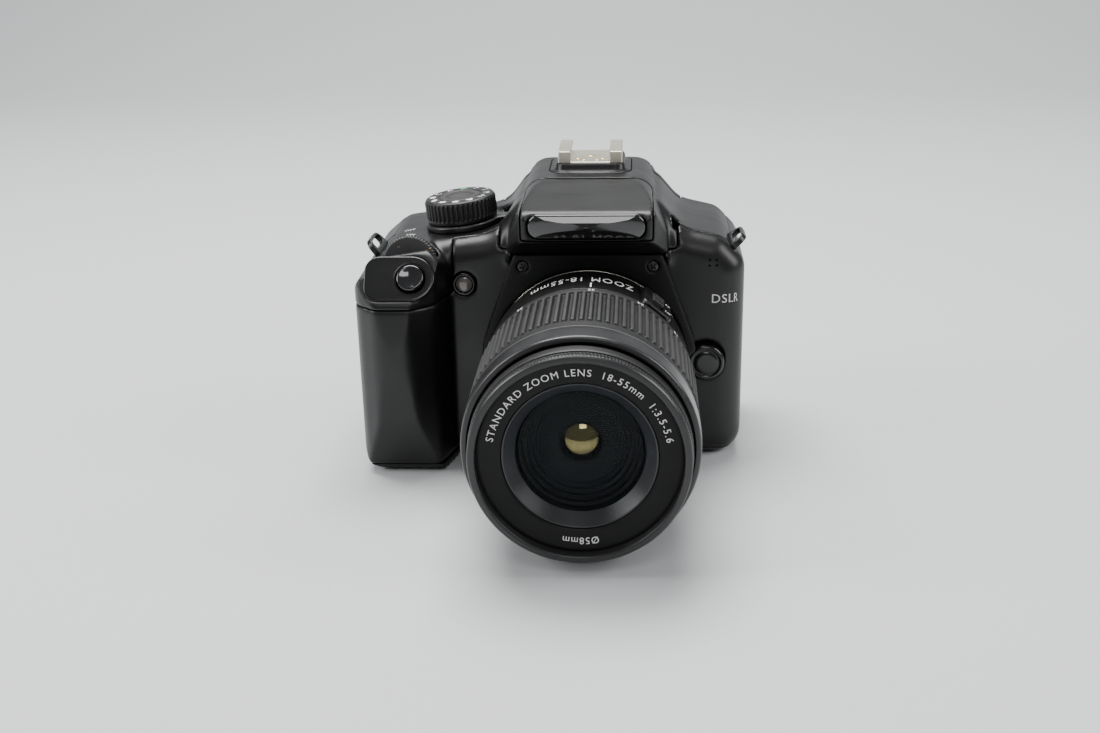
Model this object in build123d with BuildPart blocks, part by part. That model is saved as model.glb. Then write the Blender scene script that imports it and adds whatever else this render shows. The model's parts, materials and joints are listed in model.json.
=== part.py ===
from build123d import *
import os

# A single-lens reflex camera with a pop-up flash and a short zoom lens.
# Millimetres, +Z up. X runs across the camera (the hand grip is at -X), -Y is
# the way the lens looks. The origin is the mouth of the tripod socket, in the
# middle of the base plane and straight below the lens axis.

os.makedirs("parts", exist_ok=True)

# ---- driving dimensions -------------------------------------------------
body_width = 126.1
body_height = 99.7
body_depth = 77.9
axis_to_grip_side = 75.2
axis_z = 36.4
flange_y = -26.0
flange_to_sensor = 44.0
flange_to_skin = 6.0
flange_to_back = 58.0
flange_to_grip_front = 14.0
wall = 2.0
seam = 0.15
running_fit = 0.05
key_gap = 0.18
moving_gap = 0.3

left_x = -axis_to_grip_side
right_x = body_width - axis_to_grip_side
skin_y = flange_y + flange_to_skin
back_y = flange_y + flange_to_back
grip_y = flange_y - flange_to_grip_front
sensor_y = flange_y + flange_to_sensor
shoulder_z = 78.8
hump_top_z = 93.0


def across(y):
    """Plane square to the lens axis at depth y: local axes are X and Z, normal -Y."""
    return Plane.XZ.offset(-y)


def save(piece, name):
    """Label one finished piece and write its STEP file."""
    piece.part.label = name
    export_step(piece.part, f"parts/{name}.step")


# ---- outer form of the body ---------------------------------------------
grip_inner_x = -45.0
grip_top_z = 76.2
platform_low = (grip_y + 1.4, 59.8)
platform_high = (grip_y + 13.0, 75.0)
hump_half = 28.0
hump_back_y = back_y + 1.6
nose_y = flange_y - 10.0
nose_half = 20.0
front_round = 8.0
back_round = 4.0


def front_outline():
    """The block's outline from the front."""
    points = [
        (left_x, 0), (right_x, 0), (right_x, 68), (43.5, 75.8), (30.5, shoulder_z),
        (22.0, shoulder_z + 10), (-22.0, shoulder_z + 10), (-30, shoulder_z - 0.8),
        (-52, 74.8), (-66, 72.8), (left_x, 65.0),
    ]
    with BuildSketch() as outline:
        with BuildLine():
            FilletPolyline(*points, radius=[9, 9, 7, 8, 11, 7, 7, 12, 20, 8, 7], close=True)
        make_face()
    return outline.sketch


def block_form(inset):
    """The main block, drawn in front view and run from skin to back."""
    with BuildPart() as form:
        with BuildSketch(across(back_y - inset)):
            add(front_outline())
            if inset:
                offset(amount=-inset)
        extrude(amount=back_y - skin_y - 2 * inset)
        ends = form.faces().sort_by(Axis.Y)
        fillet(ends[0].edges(), front_round - inset)
        ends = form.faces().sort_by(Axis.Y)
        fillet(ends[-1].edges(), back_round - inset)
    return form.part


def grip_form(inset):
    """The hand grip: its plan outline met by its side profile."""
    plan = [
        (left_x, 8), (left_x, grip_y + 8), (left_x + 9, grip_y), (-57, grip_y + 0.4),
        (-48.6, grip_y + 7.4), (grip_inner_x, skin_y + 1), (grip_inner_x, 8),
    ]
    side = [
        (8, 0), (grip_y + 7, 0), (grip_y + 1.6, 20), (grip_y, 44), platform_low,
        platform_high, (grip_y + 22, grip_top_z), (8, grip_top_z),
    ]
    face = [
        (left_x - 4, -4), (grip_inner_x + 0.6, -4), (grip_inner_x + 0.6, grip_top_z + 0.6),
        (left_x - 4, grip_top_z + 0.6),
    ]
    with BuildPart() as form:
        with BuildSketch(Plane.XY):
            with BuildLine():
                FilletPolyline(*plan, radius=[0.5, 10, 10, 9, 8, 3, 0.5], close=True)
            make_face()
            if inset:
                offset(amount=-inset)
        extrude(amount=grip_top_z)
        with BuildSketch(Plane.YZ.offset(left_x - 5)):
            with BuildLine():
                FilletPolyline(*side, radius=[0.5, 6, 30, 30, 3.5, 6, 6, 0.5], close=True)
            make_face()
            if inset:
                offset(amount=-inset)
        extrude(amount=50, mode=Mode.INTERSECT)
        with BuildSketch(across(back_y)):
            add(front_outline())
            if inset:
                offset(amount=-inset)
        extrude(amount=back_y - grip_y + 5, mode=Mode.INTERSECT)
        with BuildSketch(across(back_y + 1)):
            with BuildLine():
                FilletPolyline(*face, radius=[0, 0, 14, 0], close=True)
            make_face()
            if inset:
                offset(amount=-inset)
        extrude(amount=back_y - grip_y + 7, mode=Mode.INTERSECT)
    return form.part


def hump_form(inset):
    """The flash and viewfinder hump: front, side and plan outlines together."""
    front = [
        (-hump_half, 50), (hump_half, 50), (25.0, 81), (19.4, hump_top_z),
        (-19.4, hump_top_z), (-25.0, 81),
    ]
    side = [
        (hump_back_y, 60), (hump_back_y, hump_top_z), (-6, hump_top_z),
        (nose_y + 2.2, 88.9), (nose_y - 0.4, 85), (nose_y, 80.6), (flange_y, 73.6),
        (skin_y + 2, 66), (skin_y + 2, 60),
    ]
    plan = [
        (-hump_half - 2, 45), (-hump_half - 2, skin_y), (-nose_half - 0.6, nose_y + 1),
        (0, nose_y - 1.2), (nose_half + 0.6, nose_y + 1), (hump_half + 2, skin_y),
        (hump_half + 2, 45),
    ]
    with BuildPart() as form:
        with BuildSketch(across(back_y + 9)):
            with BuildLine():
                FilletPolyline(*front, radius=[0, 0, 14, 9, 9, 14], close=True)
            make_face()
            if inset:
                offset(amount=-inset)
        extrude(amount=back_y - nose_y + 20)
        with BuildSketch(Plane.YZ.offset(-hump_half - 1)):
            with BuildLine():
                FilletPolyline(*side, radius=[0, 5, 30, 4.5, 6, 2, 4, 3, 0], close=True)
            make_face()
            if inset:
                offset(amount=-inset)
        extrude(amount=2 * hump_half + 2, mode=Mode.INTERSECT)
        with BuildSketch(Plane.XY.offset(45)):
            with BuildLine():
                FilletPolyline(*plan, radius=[0, 12, 4, 60, 4, 12, 0], close=True)
            make_face()
            if inset:
                offset(amount=-inset)
        extrude(amount=60, mode=Mode.INTERSECT)
    return form.part


def body_form(inset):
    """Block, grip and hump together, shrunk all round by inset."""
    with BuildPart() as form:
        add(block_form(inset))
        add(grip_form(inset))
        add(hump_form(inset))
    return form.part



def box_tool(low, high):
    """A plain block between two corners, used to cut or keep a region."""
    size = [b - a for a, b in zip(low, high)]
    middle = [(a + b) / 2 for a, b in zip(low, high)]
    with BuildPart() as tool:
        with Locations(tuple(middle)):
            Box(*size)
    return tool.part


def rod_tool(plane, radius, start, end):
    """A round bar about a plane's normal from one height to another."""
    with BuildPart() as tool:
        with BuildSketch(plane.offset(start)):
            Circle(radius)
        extrude(amount=end - start)
    return tool.part


def slab_tool(plane, width, height, corner, start, end):
    """A rounded rectangular bar about a plane's normal between two heights."""
    with BuildPart() as tool:
        with BuildSketch(plane.offset(start)):
            RectangleRounded(width, height, corner)
        extrude(amount=end - start)
    return tool.part


# ---- places of what the covers hold -------------------------------------
axis_front = Plane(origin=(0, flange_y, axis_z), x_dir=(1, 0, 0), z_dir=(0, -1, 0))
mount_r = 31.6
throat_r = 27.0
mount_gap = 0.3
top_seam_z = 72.0
top_seam_y = -13.5
hump_seam_x = 28.6
hump_seam_z = 73.4
grip_seam_z = 58.5
side_seam_y = 4.0
base_seam_z = 3.0

dial_lean = 6.0
dial_r = 12.0
dial_h = 7.6
dial_shaft_r = 3.0
dial_seat = Plane((-42.9, 3, 75.8)).rotated((0, -dial_lean, 0))
switch_r = 12.7
switch_h = 2.0
switch_tip = 4.2

wheel_r = 9.0
wheel_w = 5.0
wheel_seat = Plane(
    origin=(-57.5, -23.2, 69.6), x_dir=(1, 0, 0), z_dir=(0, -0.94, 0.342)
)

platform_mid_y = (platform_low[0] + platform_high[0]) / 2
platform_mid_z = (platform_low[1] + platform_high[1]) / 2
platform_rise = platform_high[1] - platform_low[1]
platform_run = platform_high[0] - platform_low[0]
platform = Plane(
    origin=(-59.6, platform_mid_y, platform_mid_z),
    x_dir=(1, 0, 0),
    z_dir=(0, -platform_rise, platform_run),
)
surround_r = 7.7
surround_corner = 5.0
surround_left = -11.6
surround_t = 1.0
surround_proud = 0.2
shutter_r = 4.4
shutter_at = 3.4
shutter_travel = 1.2
shutter_proud = 1.4
shutter_seat = platform.shift_origin(platform.from_local_coords((shutter_at, 0, 0)))

lamp_seat = Plane(origin=(-40.7, skin_y, 61.6), x_dir=(1, 0, 0), z_dir=(0, -1, 0))
lamp_r = 3.9
release_r = 6.1
release_seat = Plane(origin=(38.4, skin_y, 35.4), x_dir=(1, 0, 0), z_dir=(0, -1, 0))
release_proud = 3.4
flash_key_r = 2.9
flash_key_seat = Plane(origin=(26.4, -13.5, 79.5), x_dir=(0, 1, 0), z_dir=(0.99, 0, 0.12))

hinge_y = -5.0
hinge_z = hump_top_z - 1.7
hinge_r = 1.6
lid_half = 20.6

screen_w = 63.0
screen_h = 48.0
screen_x = 13.5
screen_z = 33.0
eyepiece_z = 76.0
eyepiece_w = 20.0
eyepiece_h = 14.5
eyecup_w = 36.6
eyecup_h = 27.0
knob_r = 2.8
knob_x = -22.0
knob_z = 81.0

rear_keys = {
    "menu_button": (40.0, 63.0, 2.6),
    "live_view_button": (-31.5, 63.5, 2.6),
    "exposure_button": (-31.5, 53.0, 2.6),
    "play_button": (-32.0, 11.0, 2.6),
    "erase_button": (-43.5, 11.0, 2.6),
    "ae_lock_button": (-60.0, 64.0, 2.5),
    "set_button": (-45.0, 33.0, 4.0),
    "pad_up_button": (-45.0, 42.6, 3.2),
    "pad_down_button": (-45.0, 23.4, 3.2),
    "pad_left_button": (-35.4, 33.0, 3.2),
    "pad_right_button": (-54.6, 33.0, 3.2),
}
key_proud = 0.7
key_flange = 0.9

door_x = (-70.0, -50.5)
door_y = (-26.5, 10.5)
door_t = 1.8
door_hinge_r = 0.9
door_hinge_z = 1.0
flap_y = (-2.0, 20.0)
flap_z = (21.0, 57.0)
flap_t = 1.4
socket_r = 5.5
socket_thread_r = 3.175
socket_thread_depth = 6.5
lug_t = 2.0
lug_w = 14.6
lug_h = 8.4
lug_slot_w = 10.4
lug_slot_h = 3.0
lug_seats = [
    Plane(origin=(-70.6, -6, 70.6), x_dir=(0, 1, 0), z_dir=(0.77, 0, 0.64)),
    Plane(origin=(47.6, -6, 72.6), x_dir=(0, -1, 0), z_dir=(-0.64, 0, 0.77)),
]
shoe_w = 21.4
shoe_len = 20.0
shoe_y = (6.0, 26.0)
shoe_slot_w = 18.6
shoe_slot_h = 2.2
shoe_lip_t = 1.3
shoe_mouth_w = 13.0
panel_screws = [(-20.8, 69.2), (20.8, 69.2)]
panel_screw_r = 1.9
ring_screw_r = 1.5
ring_screw_circle = 29.3
pin_r = 1.2


# ---- body covers ----------------------------------------------------------
with BuildPart() as shell:
    add(body_form(0))
    add(body_form(wall), mode=Mode.SUBTRACT)

far = 200.0
with BuildPart() as top_region:
    add(box_tool((-far, top_seam_y, top_seam_z), (far, far, far)))
    add(box_tool((-hump_seam_x, -far, hump_seam_z), (hump_seam_x, far, far)))
    add(box_tool((-far, -far, grip_seam_z), (grip_inner_x + 0.6, top_seam_y + 0.5, far)))
with BuildPart() as rear_region:
    add(box_tool((-far, side_seam_y, -1), (far, far, top_seam_z)))
    add(box_tool((-hump_half - 3, back_y - 8, 60), (hump_half + 3, far, 89.4)))
panel_outline = [
    (-23.6, 73.4), (-34.6, 43.8), (-38, base_seam_z + 1), (35.8, base_seam_z + 1),
    (35.2, 41.8), (23.6, 73.4),
]


def panel_tool(start, end, grow):
    """The mount panel's outline run between two depths."""
    with BuildPart() as tool:
        with BuildSketch(across(start)):
            with BuildLine():
                FilletPolyline(*panel_outline, radius=[1, 30, 3, 3, 30, 1], close=True)
            make_face()
            if grow:
                offset(amount=grow)
        extrude(amount=start - end)
    return tool.part


panel_room = panel_tool(skin_y, flange_y - 4, seam)
base_region = box_tool((-far, -far, -1), (far, far, base_seam_z))


def lid_side(grow):
    """Side outline of the pop-up head, grown all round by a gap."""
    points = [
        (nose_y - 9, 80.2), (-33.4, 80.2), (-31, 81.2), (-13, 85.2),
        (hinge_y, hinge_z - hinge_r), (hinge_y, far), (nose_y - 9, far),
    ]
    with BuildPart() as tool:
        with BuildSketch(Plane.YZ.offset(-lid_half - grow)):
            with BuildLine():
                Polyline(*points, close=True)
            make_face()
            if grow:
                offset(amount=grow)
        extrude(amount=2 * (lid_half + grow))
        with BuildSketch(Plane.YZ.offset(-lid_half - grow)):
            with Locations((hinge_y, hinge_z)):
                Circle(hinge_r + 2 * grow)
        extrude(amount=2 * (lid_half + grow))
    return tool.part


lug_slots = []
for seat in lug_seats:
    lug_slots.append(
        slab_tool(seat, lug_w + 0.2, lug_h * 2, 1, -lug_t / 2 - 0.1, lug_t / 2 + 0.1)
    )
mount_hole = rod_tool(axis_front, mount_r + mount_gap, -15, 2)
release_hole = rod_tool(release_seat, release_r + key_gap, -4, 8)
lid_cut = lid_side(moving_gap)
eye_hole = slab_tool(
    Plane(origin=(0, hump_back_y, eyepiece_z), x_dir=(1, 0, 0), z_dir=(0, -1, 0)),
    eyepiece_w, eyepiece_h, 3, -5, 12,
)


def surround_outline(inset):
    """The platform plate's outline: two corner circles and one about the shutter button."""
    corner_x = surround_left + surround_corner
    corner_y = surround_r - surround_corner
    with BuildSketch() as outline:
        with Locations((corner_x, corner_y), (corner_x, -corner_y)):
            Circle(surround_corner - inset)
        with Locations((shutter_at, 0)):
            Circle(surround_r - inset)
        make_hull()
    return outline.sketch


with BuildPart() as top_cover:
    add(shell.part)
    add(top_region.part, mode=Mode.INTERSECT)
    add(rear_region.part, mode=Mode.SUBTRACT)
    add(rod_tool(dial_seat, switch_r + 1, -2, -0.2))
    add(rod_tool(dial_seat, switch_r + moving_gap, 0, 20), mode=Mode.SUBTRACT)
    add(rod_tool(dial_seat, switch_r + switch_tip + 1, 0, 20), mode=Mode.SUBTRACT)
    add(rod_tool(dial_seat, dial_shaft_r + running_fit, -20, 20), mode=Mode.SUBTRACT)
    add(
        rod_tool(wheel_seat, wheel_r + moving_gap, -wheel_w / 2 - 0.3, wheel_w / 2 + 0.3),
        mode=Mode.SUBTRACT,
    )
    with BuildSketch(platform.offset(surround_proud - surround_t)):
        add(surround_outline(0))
    extrude(amount=6, mode=Mode.SUBTRACT)
    add(rod_tool(shutter_seat, shutter_r + key_gap, -6, 5), mode=Mode.SUBTRACT)
    add(lid_cut, mode=Mode.SUBTRACT)
    add(panel_room, mode=Mode.SUBTRACT)
    add(rod_tool(flash_key_seat, flash_key_r + key_gap, -4, 3), mode=Mode.SUBTRACT)
    add(lug_slots, mode=Mode.SUBTRACT)
    add(rod_tool(lamp_seat, lamp_r, -4, 3), mode=Mode.SUBTRACT)
save(top_cover, "top_cover")

with BuildPart() as rear_cover:
    add(shell.part)
    add(rear_region.part, mode=Mode.INTERSECT)
    add(base_region, mode=Mode.SUBTRACT)
    with BuildSketch(Plane(origin=(screen_x, back_y, screen_z), x_dir=(1, 0, 0),
                           z_dir=(0, 1, 0))):
        RectangleRounded(screen_w, screen_h, 2.5)
    extrude(amount=-wall * 2, both=True, mode=Mode.SUBTRACT)
    for key_x, key_z, key_r in rear_keys.values():
        seat = Plane(origin=(key_x, back_y, key_z), x_dir=(1, 0, 0), z_dir=(0, -1, 0))
        add(rod_tool(seat, key_r + key_gap, -3, wall + 1), mode=Mode.SUBTRACT)
    add(eye_hole, mode=Mode.SUBTRACT)
    knob_seat = Plane(origin=(knob_x, hump_back_y, knob_z), x_dir=(1, 0, 0),
                      z_dir=(0, -1, 0))
    add(rod_tool(knob_seat, knob_r + running_fit, -3, wall + 2), mode=Mode.SUBTRACT)
    add(
        box_tool((right_x - flap_t - 0.1, flap_y[0] - 0.4, flap_z[0] - moving_gap),
                 (far, flap_y[1] + moving_gap, flap_z[1] + moving_gap)),
        mode=Mode.SUBTRACT,
    )
    add(lug_slots, mode=Mode.SUBTRACT)
save(rear_cover, "rear_cover")

with BuildPart() as front_panel:
    add(panel_tool(skin_y - seam, flange_y, 0))
    add(mount_hole, mode=Mode.SUBTRACT)
    add(release_hole, mode=Mode.SUBTRACT)
    for screw_x, screw_z in panel_screws:
        seat = Plane(origin=(screw_x, flange_y, screw_z), x_dir=(1, 0, 0),
                     z_dir=(0, -1, 0))
        add(rod_tool(seat, panel_screw_r, -1.2, 1), mode=Mode.SUBTRACT)
        add(rod_tool(seat, 1.0, -4, 1), mode=Mode.SUBTRACT)
save(front_panel, "front_panel")

with BuildPart() as front_cover:
    add(shell.part)
    add(top_region.part, mode=Mode.SUBTRACT)
    add(box_tool((-far, side_seam_y, -1), (far, far, far)), mode=Mode.SUBTRACT)
    add(base_region, mode=Mode.SUBTRACT)
    add(mount_hole, mode=Mode.SUBTRACT)
    add(release_hole, mode=Mode.SUBTRACT)
    add(rod_tool(lamp_seat, lamp_r, -4, 3), mode=Mode.SUBTRACT)
    add(lug_slots, mode=Mode.SUBTRACT)
    add(panel_room, mode=Mode.SUBTRACT)
    add(rod_tool(dial_seat, switch_r + switch_tip + 1, 0, 20), mode=Mode.SUBTRACT)
    add(
        box_tool((right_x - flap_t - 0.1, flap_y[0] - 0.4, flap_z[0] - moving_gap),
                 (far, flap_y[1] + moving_gap, flap_z[1] + moving_gap)),
        mode=Mode.SUBTRACT,
    )
save(front_cover, "front_cover")


with BuildPart() as bottom_cover:
    add(shell.part)
    add(base_region, mode=Mode.INTERSECT)
    add(box_tool((door_x[0] - 0.2, door_y[0] - 0.2, -1),
                 (door_x[1] + 0.2, door_y[1] + 0.2, 5)), mode=Mode.SUBTRACT)
    add(rod_tool(Plane.XY, socket_r, -1, 5), mode=Mode.SUBTRACT)
save(bottom_cover, "bottom_cover")

with BuildPart() as tripod_socket:
    with BuildSketch(Plane.XY):
        Circle(socket_r)
    extrude(amount=8.5)
    with BuildSketch(Plane.XY):
        Circle(socket_thread_r)
    extrude(amount=socket_thread_depth, mode=Mode.SUBTRACT)
save(tripod_socket, "tripod_socket")

# The battery door lies in the base and swings down about its inner edge.
with BuildPart() as battery_door:
    with BuildSketch(Plane.XY):
        with Locations(((door_x[0] + door_x[1]) / 2, (door_y[0] + door_y[1]) / 2)):
            Rectangle(door_x[1] - door_x[0] - door_hinge_r, door_y[1] - door_y[0])
    extrude(amount=door_t)
    with BuildSketch(across(door_y[1])):
        with Locations((door_x[1] - door_hinge_r, door_hinge_z)):
            Circle(door_hinge_r)
    extrude(amount=door_y[1] - door_y[0])
save(battery_door, "battery_door")

battery_size = (13.5, 35.0, 45.0)
with BuildPart() as battery:
    with BuildSketch(Plane.XY.offset(door_t + 1.2)):
        with Locations((-61.0, -9.5)):
            RectangleRounded(battery_size[0], battery_size[1], 2)
    extrude(amount=battery_size[2])
save(battery, "battery")

with BuildPart() as terminal_cover:
    with BuildSketch(Plane.YZ.offset(right_x - flap_t)):
        with Locations(((flap_y[0] + flap_y[1]) / 2, (flap_z[0] + flap_z[1]) / 2)):
            Rectangle(flap_y[1] - flap_y[0], flap_z[1] - flap_z[0])
    extrude(amount=flap_t)
    edges = terminal_cover.edges().filter_by(Axis.X).group_by(Axis.Y)[-1]
    fillet(edges, 3)
save(terminal_cover, "terminal_cover")

with BuildPart() as strap_lugs:
    for seat in lug_seats:
        with BuildSketch(seat.offset(-lug_t / 2)):
            RectangleRounded(lug_w, lug_h, 4)
            with Locations((0, 1.6)):
                RectangleRounded(lug_slot_w, lug_slot_h, 1.4, mode=Mode.SUBTRACT)
        extrude(amount=lug_t)
save(strap_lugs, "strap_lugs")

# ---- hot shoe ---------------------------------------------------------------
shoe_base = body_height - shoe_lip_t - shoe_slot_h
shoe_mid_y = (shoe_y[0] + shoe_y[1]) / 2
with BuildPart() as hot_shoe:
    with BuildSketch(Plane.XY.offset(hump_top_z)):
        with Locations((0, shoe_mid_y)):
            Rectangle(shoe_w, shoe_len)
    extrude(amount=body_height - hump_top_z)
    with BuildSketch(Plane.XY.offset(shoe_base)):
        with Locations((0, shoe_mid_y + 1.2)):
            Rectangle(shoe_slot_w, shoe_len)
    extrude(amount=shoe_slot_h, mode=Mode.SUBTRACT)
    with BuildSketch(Plane.XY.offset(shoe_base)):
        with Locations((0, shoe_mid_y)):
            Rectangle(shoe_mouth_w, shoe_len + 10)
    extrude(amount=10, mode=Mode.SUBTRACT)
save(hot_shoe, "hot_shoe")

# ---- pop-up flash -----------------------------------------------------------
band_seat = Plane(origin=(0, nose_y, 84.7), x_dir=(1, 0, 0), z_dir=(0, -1, 0))
band_size = (37.0, 7.8, 3.3)
window_seat = Plane(origin=(0, -22, 82.6), x_dir=(1, 0, 0), z_dir=(0, -5.0, 18.0))
window_size = (32.0, 11.0, 1.5)
with BuildPart() as flash_plate:
    with BuildSketch(band_seat.offset(-2.2)):
        RectangleRounded(*band_size)
    extrude(amount=3.0)
    fillet(flash_plate.faces().sort_by(Axis.Y)[0].edges(), 1.4)
save(flash_plate, "flash_plate")

with BuildPart() as flash_head:
    add(hump_form(0))
    add(lid_side(0), mode=Mode.INTERSECT)
    add(slab_tool(band_seat, band_size[0] + seam, band_size[1] + seam, band_size[2],
                  -2.2, 4), mode=Mode.SUBTRACT)
    add(slab_tool(window_seat, *window_size, -8, 1.6), mode=Mode.SUBTRACT)
save(flash_head, "flash_head")

with BuildPart() as flash_window:
    with BuildSketch(window_seat.offset(0.2)):
        RectangleRounded(*window_size)
    extrude(amount=1.4)
save(flash_window, "flash_window")

with BuildPart() as flash_button:
    with BuildSketch(flash_key_seat.offset(-4.2)):
        Circle(flash_key_r)
    extrude(amount=4.9)
save(flash_button, "flash_button")

# ---- top controls -----------------------------------------------------------
with BuildPart() as power_switch:
    with BuildSketch(dial_seat.offset(0.2)):
        Circle(switch_r)
        with Locations((-switch_r, 0)):
            RectangleRounded(2 * switch_tip, 5, 2)
        Circle(dial_shaft_r + running_fit + 0.1, mode=Mode.SUBTRACT)
    extrude(amount=switch_h)
save(power_switch, "power_switch")

with BuildPart() as mode_dial:
    with BuildSketch(dial_seat.offset(0.2 + switch_h + 0.3)):
        Circle(dial_r)
    extrude(amount=dial_h)
    chamfer(mode_dial.edges().group_by(Axis.Z)[-1], 0.6)
    with BuildSketch(dial_seat.offset(-5)):
        Circle(dial_shaft_r)
    extrude(amount=5 + 0.2 + switch_h + 0.3)
save(mode_dial, "mode_dial")

with BuildPart() as main_dial:
    with BuildSketch(wheel_seat.offset(-wheel_w / 2)):
        Circle(wheel_r)
    extrude(amount=wheel_w)
    chamfer(main_dial.edges(), 0.5)
save(main_dial, "main_dial")

with BuildPart() as shutter_surround:
    with BuildSketch(platform.offset(surround_proud - surround_t)):
        add(surround_outline(seam / 2))
        with Locations((shutter_at, 0)):
            Circle(shutter_r + key_gap, mode=Mode.SUBTRACT)
    extrude(amount=surround_t)
save(shutter_surround, "shutter_surround")

with BuildPart() as shutter_button:
    with BuildSketch(shutter_seat.offset(-wall - shutter_travel)):
        Circle(shutter_r)
    extrude(amount=wall + shutter_travel + shutter_proud)
    fillet(shutter_button.edges().sort_by(Axis.Z)[-1], 0.6)
save(shutter_button, "shutter_button")

# ---- front controls ----------------------------------------------------------
with BuildPart() as self_timer_lamp:
    with BuildSketch(lamp_seat.offset(-wall)):
        Circle(lamp_r)
    extrude(amount=wall + 0.5)
    with BuildSketch(lamp_seat.offset(0.5)):
        Circle(lamp_r * 0.62)
    extrude(amount=0.4)
save(self_timer_lamp, "self_timer_lamp")

with BuildPart() as release_button:
    with BuildSketch(release_seat.offset(-6)):
        Circle(release_r)
    extrude(amount=6 + release_proud)
    fillet(release_button.edges().sort_by(Axis.Y)[0], 1.2)
save(release_button, "release_button")

ring_depth = 4.0
with BuildPart() as mount_ring:
    with BuildSketch(axis_front.offset(-ring_depth)):
        Circle(mount_r)
        Circle(throat_r, mode=Mode.SUBTRACT)
        with Locations((ring_screw_circle, 0)):
            Circle(pin_r + running_fit, mode=Mode.SUBTRACT)
        with PolarLocations(ring_screw_circle, 4, 45):
            Circle(ring_screw_r, mode=Mode.SUBTRACT)
    extrude(amount=ring_depth)
save(mount_ring, "mount_ring")

with BuildPart() as lock_pin:
    with BuildSketch(axis_front.offset(-ring_depth - 3)):
        with Locations((ring_screw_circle, 0)):
            Circle(pin_r)
    extrude(amount=ring_depth + 3 + 1.6)
save(lock_pin, "lock_pin")

with BuildPart() as screws:
    with BuildSketch(axis_front.offset(-ring_depth - 1)):
        with PolarLocations(ring_screw_circle, 4, 45):
            Circle(ring_screw_r - 0.05)
    extrude(amount=ring_depth + 1 - 0.1)
    with BuildSketch(across(flange_y + 1.1)):
        with Locations(*panel_screws):
            Circle(panel_screw_r - 0.05)
    extrude(amount=1.0)
    with BuildSketch(across(flange_y + 3.8)):
        with Locations(*panel_screws):
            Circle(0.95)
    extrude(amount=2.7)
save(screws, "screws")

# ---- mirror box, finder and shutter -----------------------------------------
mirror_w = 28.0
mirror_len = 27.0
mirror_t = 1.2
pivot_y = sensor_y - 7.4
pivot_z = axis_z + 13.0
pivot_r = 1.0
box_half = 17.5
box_wall = 2.0
box_z = (axis_z - 16.0, axis_z + 17.0)
box_y = (flange_y + 5.2, sensor_y - 6.0)
with BuildPart() as mirror_box:
    add(box_tool((-box_half, box_y[0], box_z[0]), (box_half, box_y[1], box_z[1])))
    add(box_tool((-box_half + box_wall, box_y[0] - 1, box_z[0] + box_wall),
                 (box_half - box_wall, box_y[1] + 1, box_z[1] - box_wall)),
        mode=Mode.SUBTRACT)
    add(box_tool((-13, box_y[0] + 3, box_z[1] - 5), (13, 6, box_z[1] + 1)),
        mode=Mode.SUBTRACT)
    add(rod_tool(Plane.YZ.shift_origin((0, pivot_y, pivot_z)), pivot_r + running_fit,
                 -box_half - 1, box_half + 1), mode=Mode.SUBTRACT)
save(mirror_box, "mirror_box")

mirror_plane = Plane(origin=(0, pivot_y, pivot_z), x_dir=(1, 0, 0), z_dir=(0, -1, 1))
with BuildPart() as reflex_mirror:
    with BuildSketch(mirror_plane.offset(-mirror_t / 2)):
        with Locations((0, -mirror_len / 2)):
            Rectangle(mirror_w, mirror_len)
        with Locations((0, -mirror_len * 0.62)):
            Rectangle(mirror_w - 9, 8.5, mode=Mode.SUBTRACT)
    extrude(amount=mirror_t)
    with BuildSketch(mirror_plane.offset(mirror_t / 2 - 0.3)):
        with Locations((0, -mirror_len * 0.62)):
            Rectangle(mirror_w - 9, 8.5)
    extrude(amount=0.3)
    with BuildSketch(Plane.YZ.offset(-box_half)):
        with Locations((pivot_y, pivot_z)):
            Circle(pivot_r)
    extrude(amount=2 * box_half)
save(reflex_mirror, "reflex_mirror")

fold_at = mirror_len * 0.5
fold_point = mirror_plane.from_local_coords(Vector(0, -fold_at, -mirror_t / 2 - 1.0))
sub_plane = Plane(origin=fold_point, x_dir=(1, 0, 0), z_dir=(0, 1, 1))
with BuildPart() as sub_mirror:
    with BuildSketch(sub_plane.offset(-0.4)):
        with Locations((0, 5.6)):
            Rectangle(15, 10.6)
    extrude(amount=0.8)
    with BuildSketch(Plane.YZ.offset(-7.5)):
        with Locations((fold_point.Y, fold_point.Z)):
            Circle(0.8)
    extrude(amount=15)
save(sub_mirror, "sub_mirror")

screen_top = box_z[1] + 0.2
with BuildPart() as focusing_screen:
    add(box_tool((-13.5, box_y[0] + 2, screen_top), (13.5, 7, screen_top + 1.4)))
save(focusing_screen, "focusing_screen")

with BuildPart() as pentaprism:
    outline = [
        (box_y[0] + 3, screen_top + 2.4), (8, screen_top + 2.4), (12, 64), (12, 75),
        (-3, 84), (-12.5, 77),
    ]
    with BuildSketch(Plane.YZ.offset(-15)):
        with BuildLine():
            Polyline(*outline, close=True)
        make_face()
    extrude(amount=30)
save(pentaprism, "pentaprism")

eye_seat = Plane(origin=(0, hump_back_y, eyepiece_z), x_dir=(1, 0, 0), z_dir=(0, -1, 0))
with BuildPart() as eyepiece_lens:
    with BuildSketch(eye_seat.offset(3)):
        RectangleRounded(eyepiece_w - 0.6, eyepiece_h - 0.6, 3)
    extrude(amount=3)
save(eyepiece_lens, "eyepiece_lens")

with BuildPart() as eyecup:
    with BuildSketch(eye_seat.offset(hump_back_y - grip_y - body_depth)):
        RectangleRounded(eyecup_w, eyecup_h, 8)
        RectangleRounded(eyepiece_w, eyepiece_h, 3, mode=Mode.SUBTRACT)
    extrude(amount=body_depth - (hump_back_y - grip_y))
    fillet(eyecup.faces().sort_by(Axis.Y)[-1].edges(), 1)
save(eyecup, "eyecup")

with BuildPart() as dioptre_knob:
    with BuildSketch(knob_seat.offset(-1.2)):
        Circle(knob_r)
    extrude(amount=1.2 + wall + 0.5)
save(dioptre_knob, "dioptre_knob")

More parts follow.
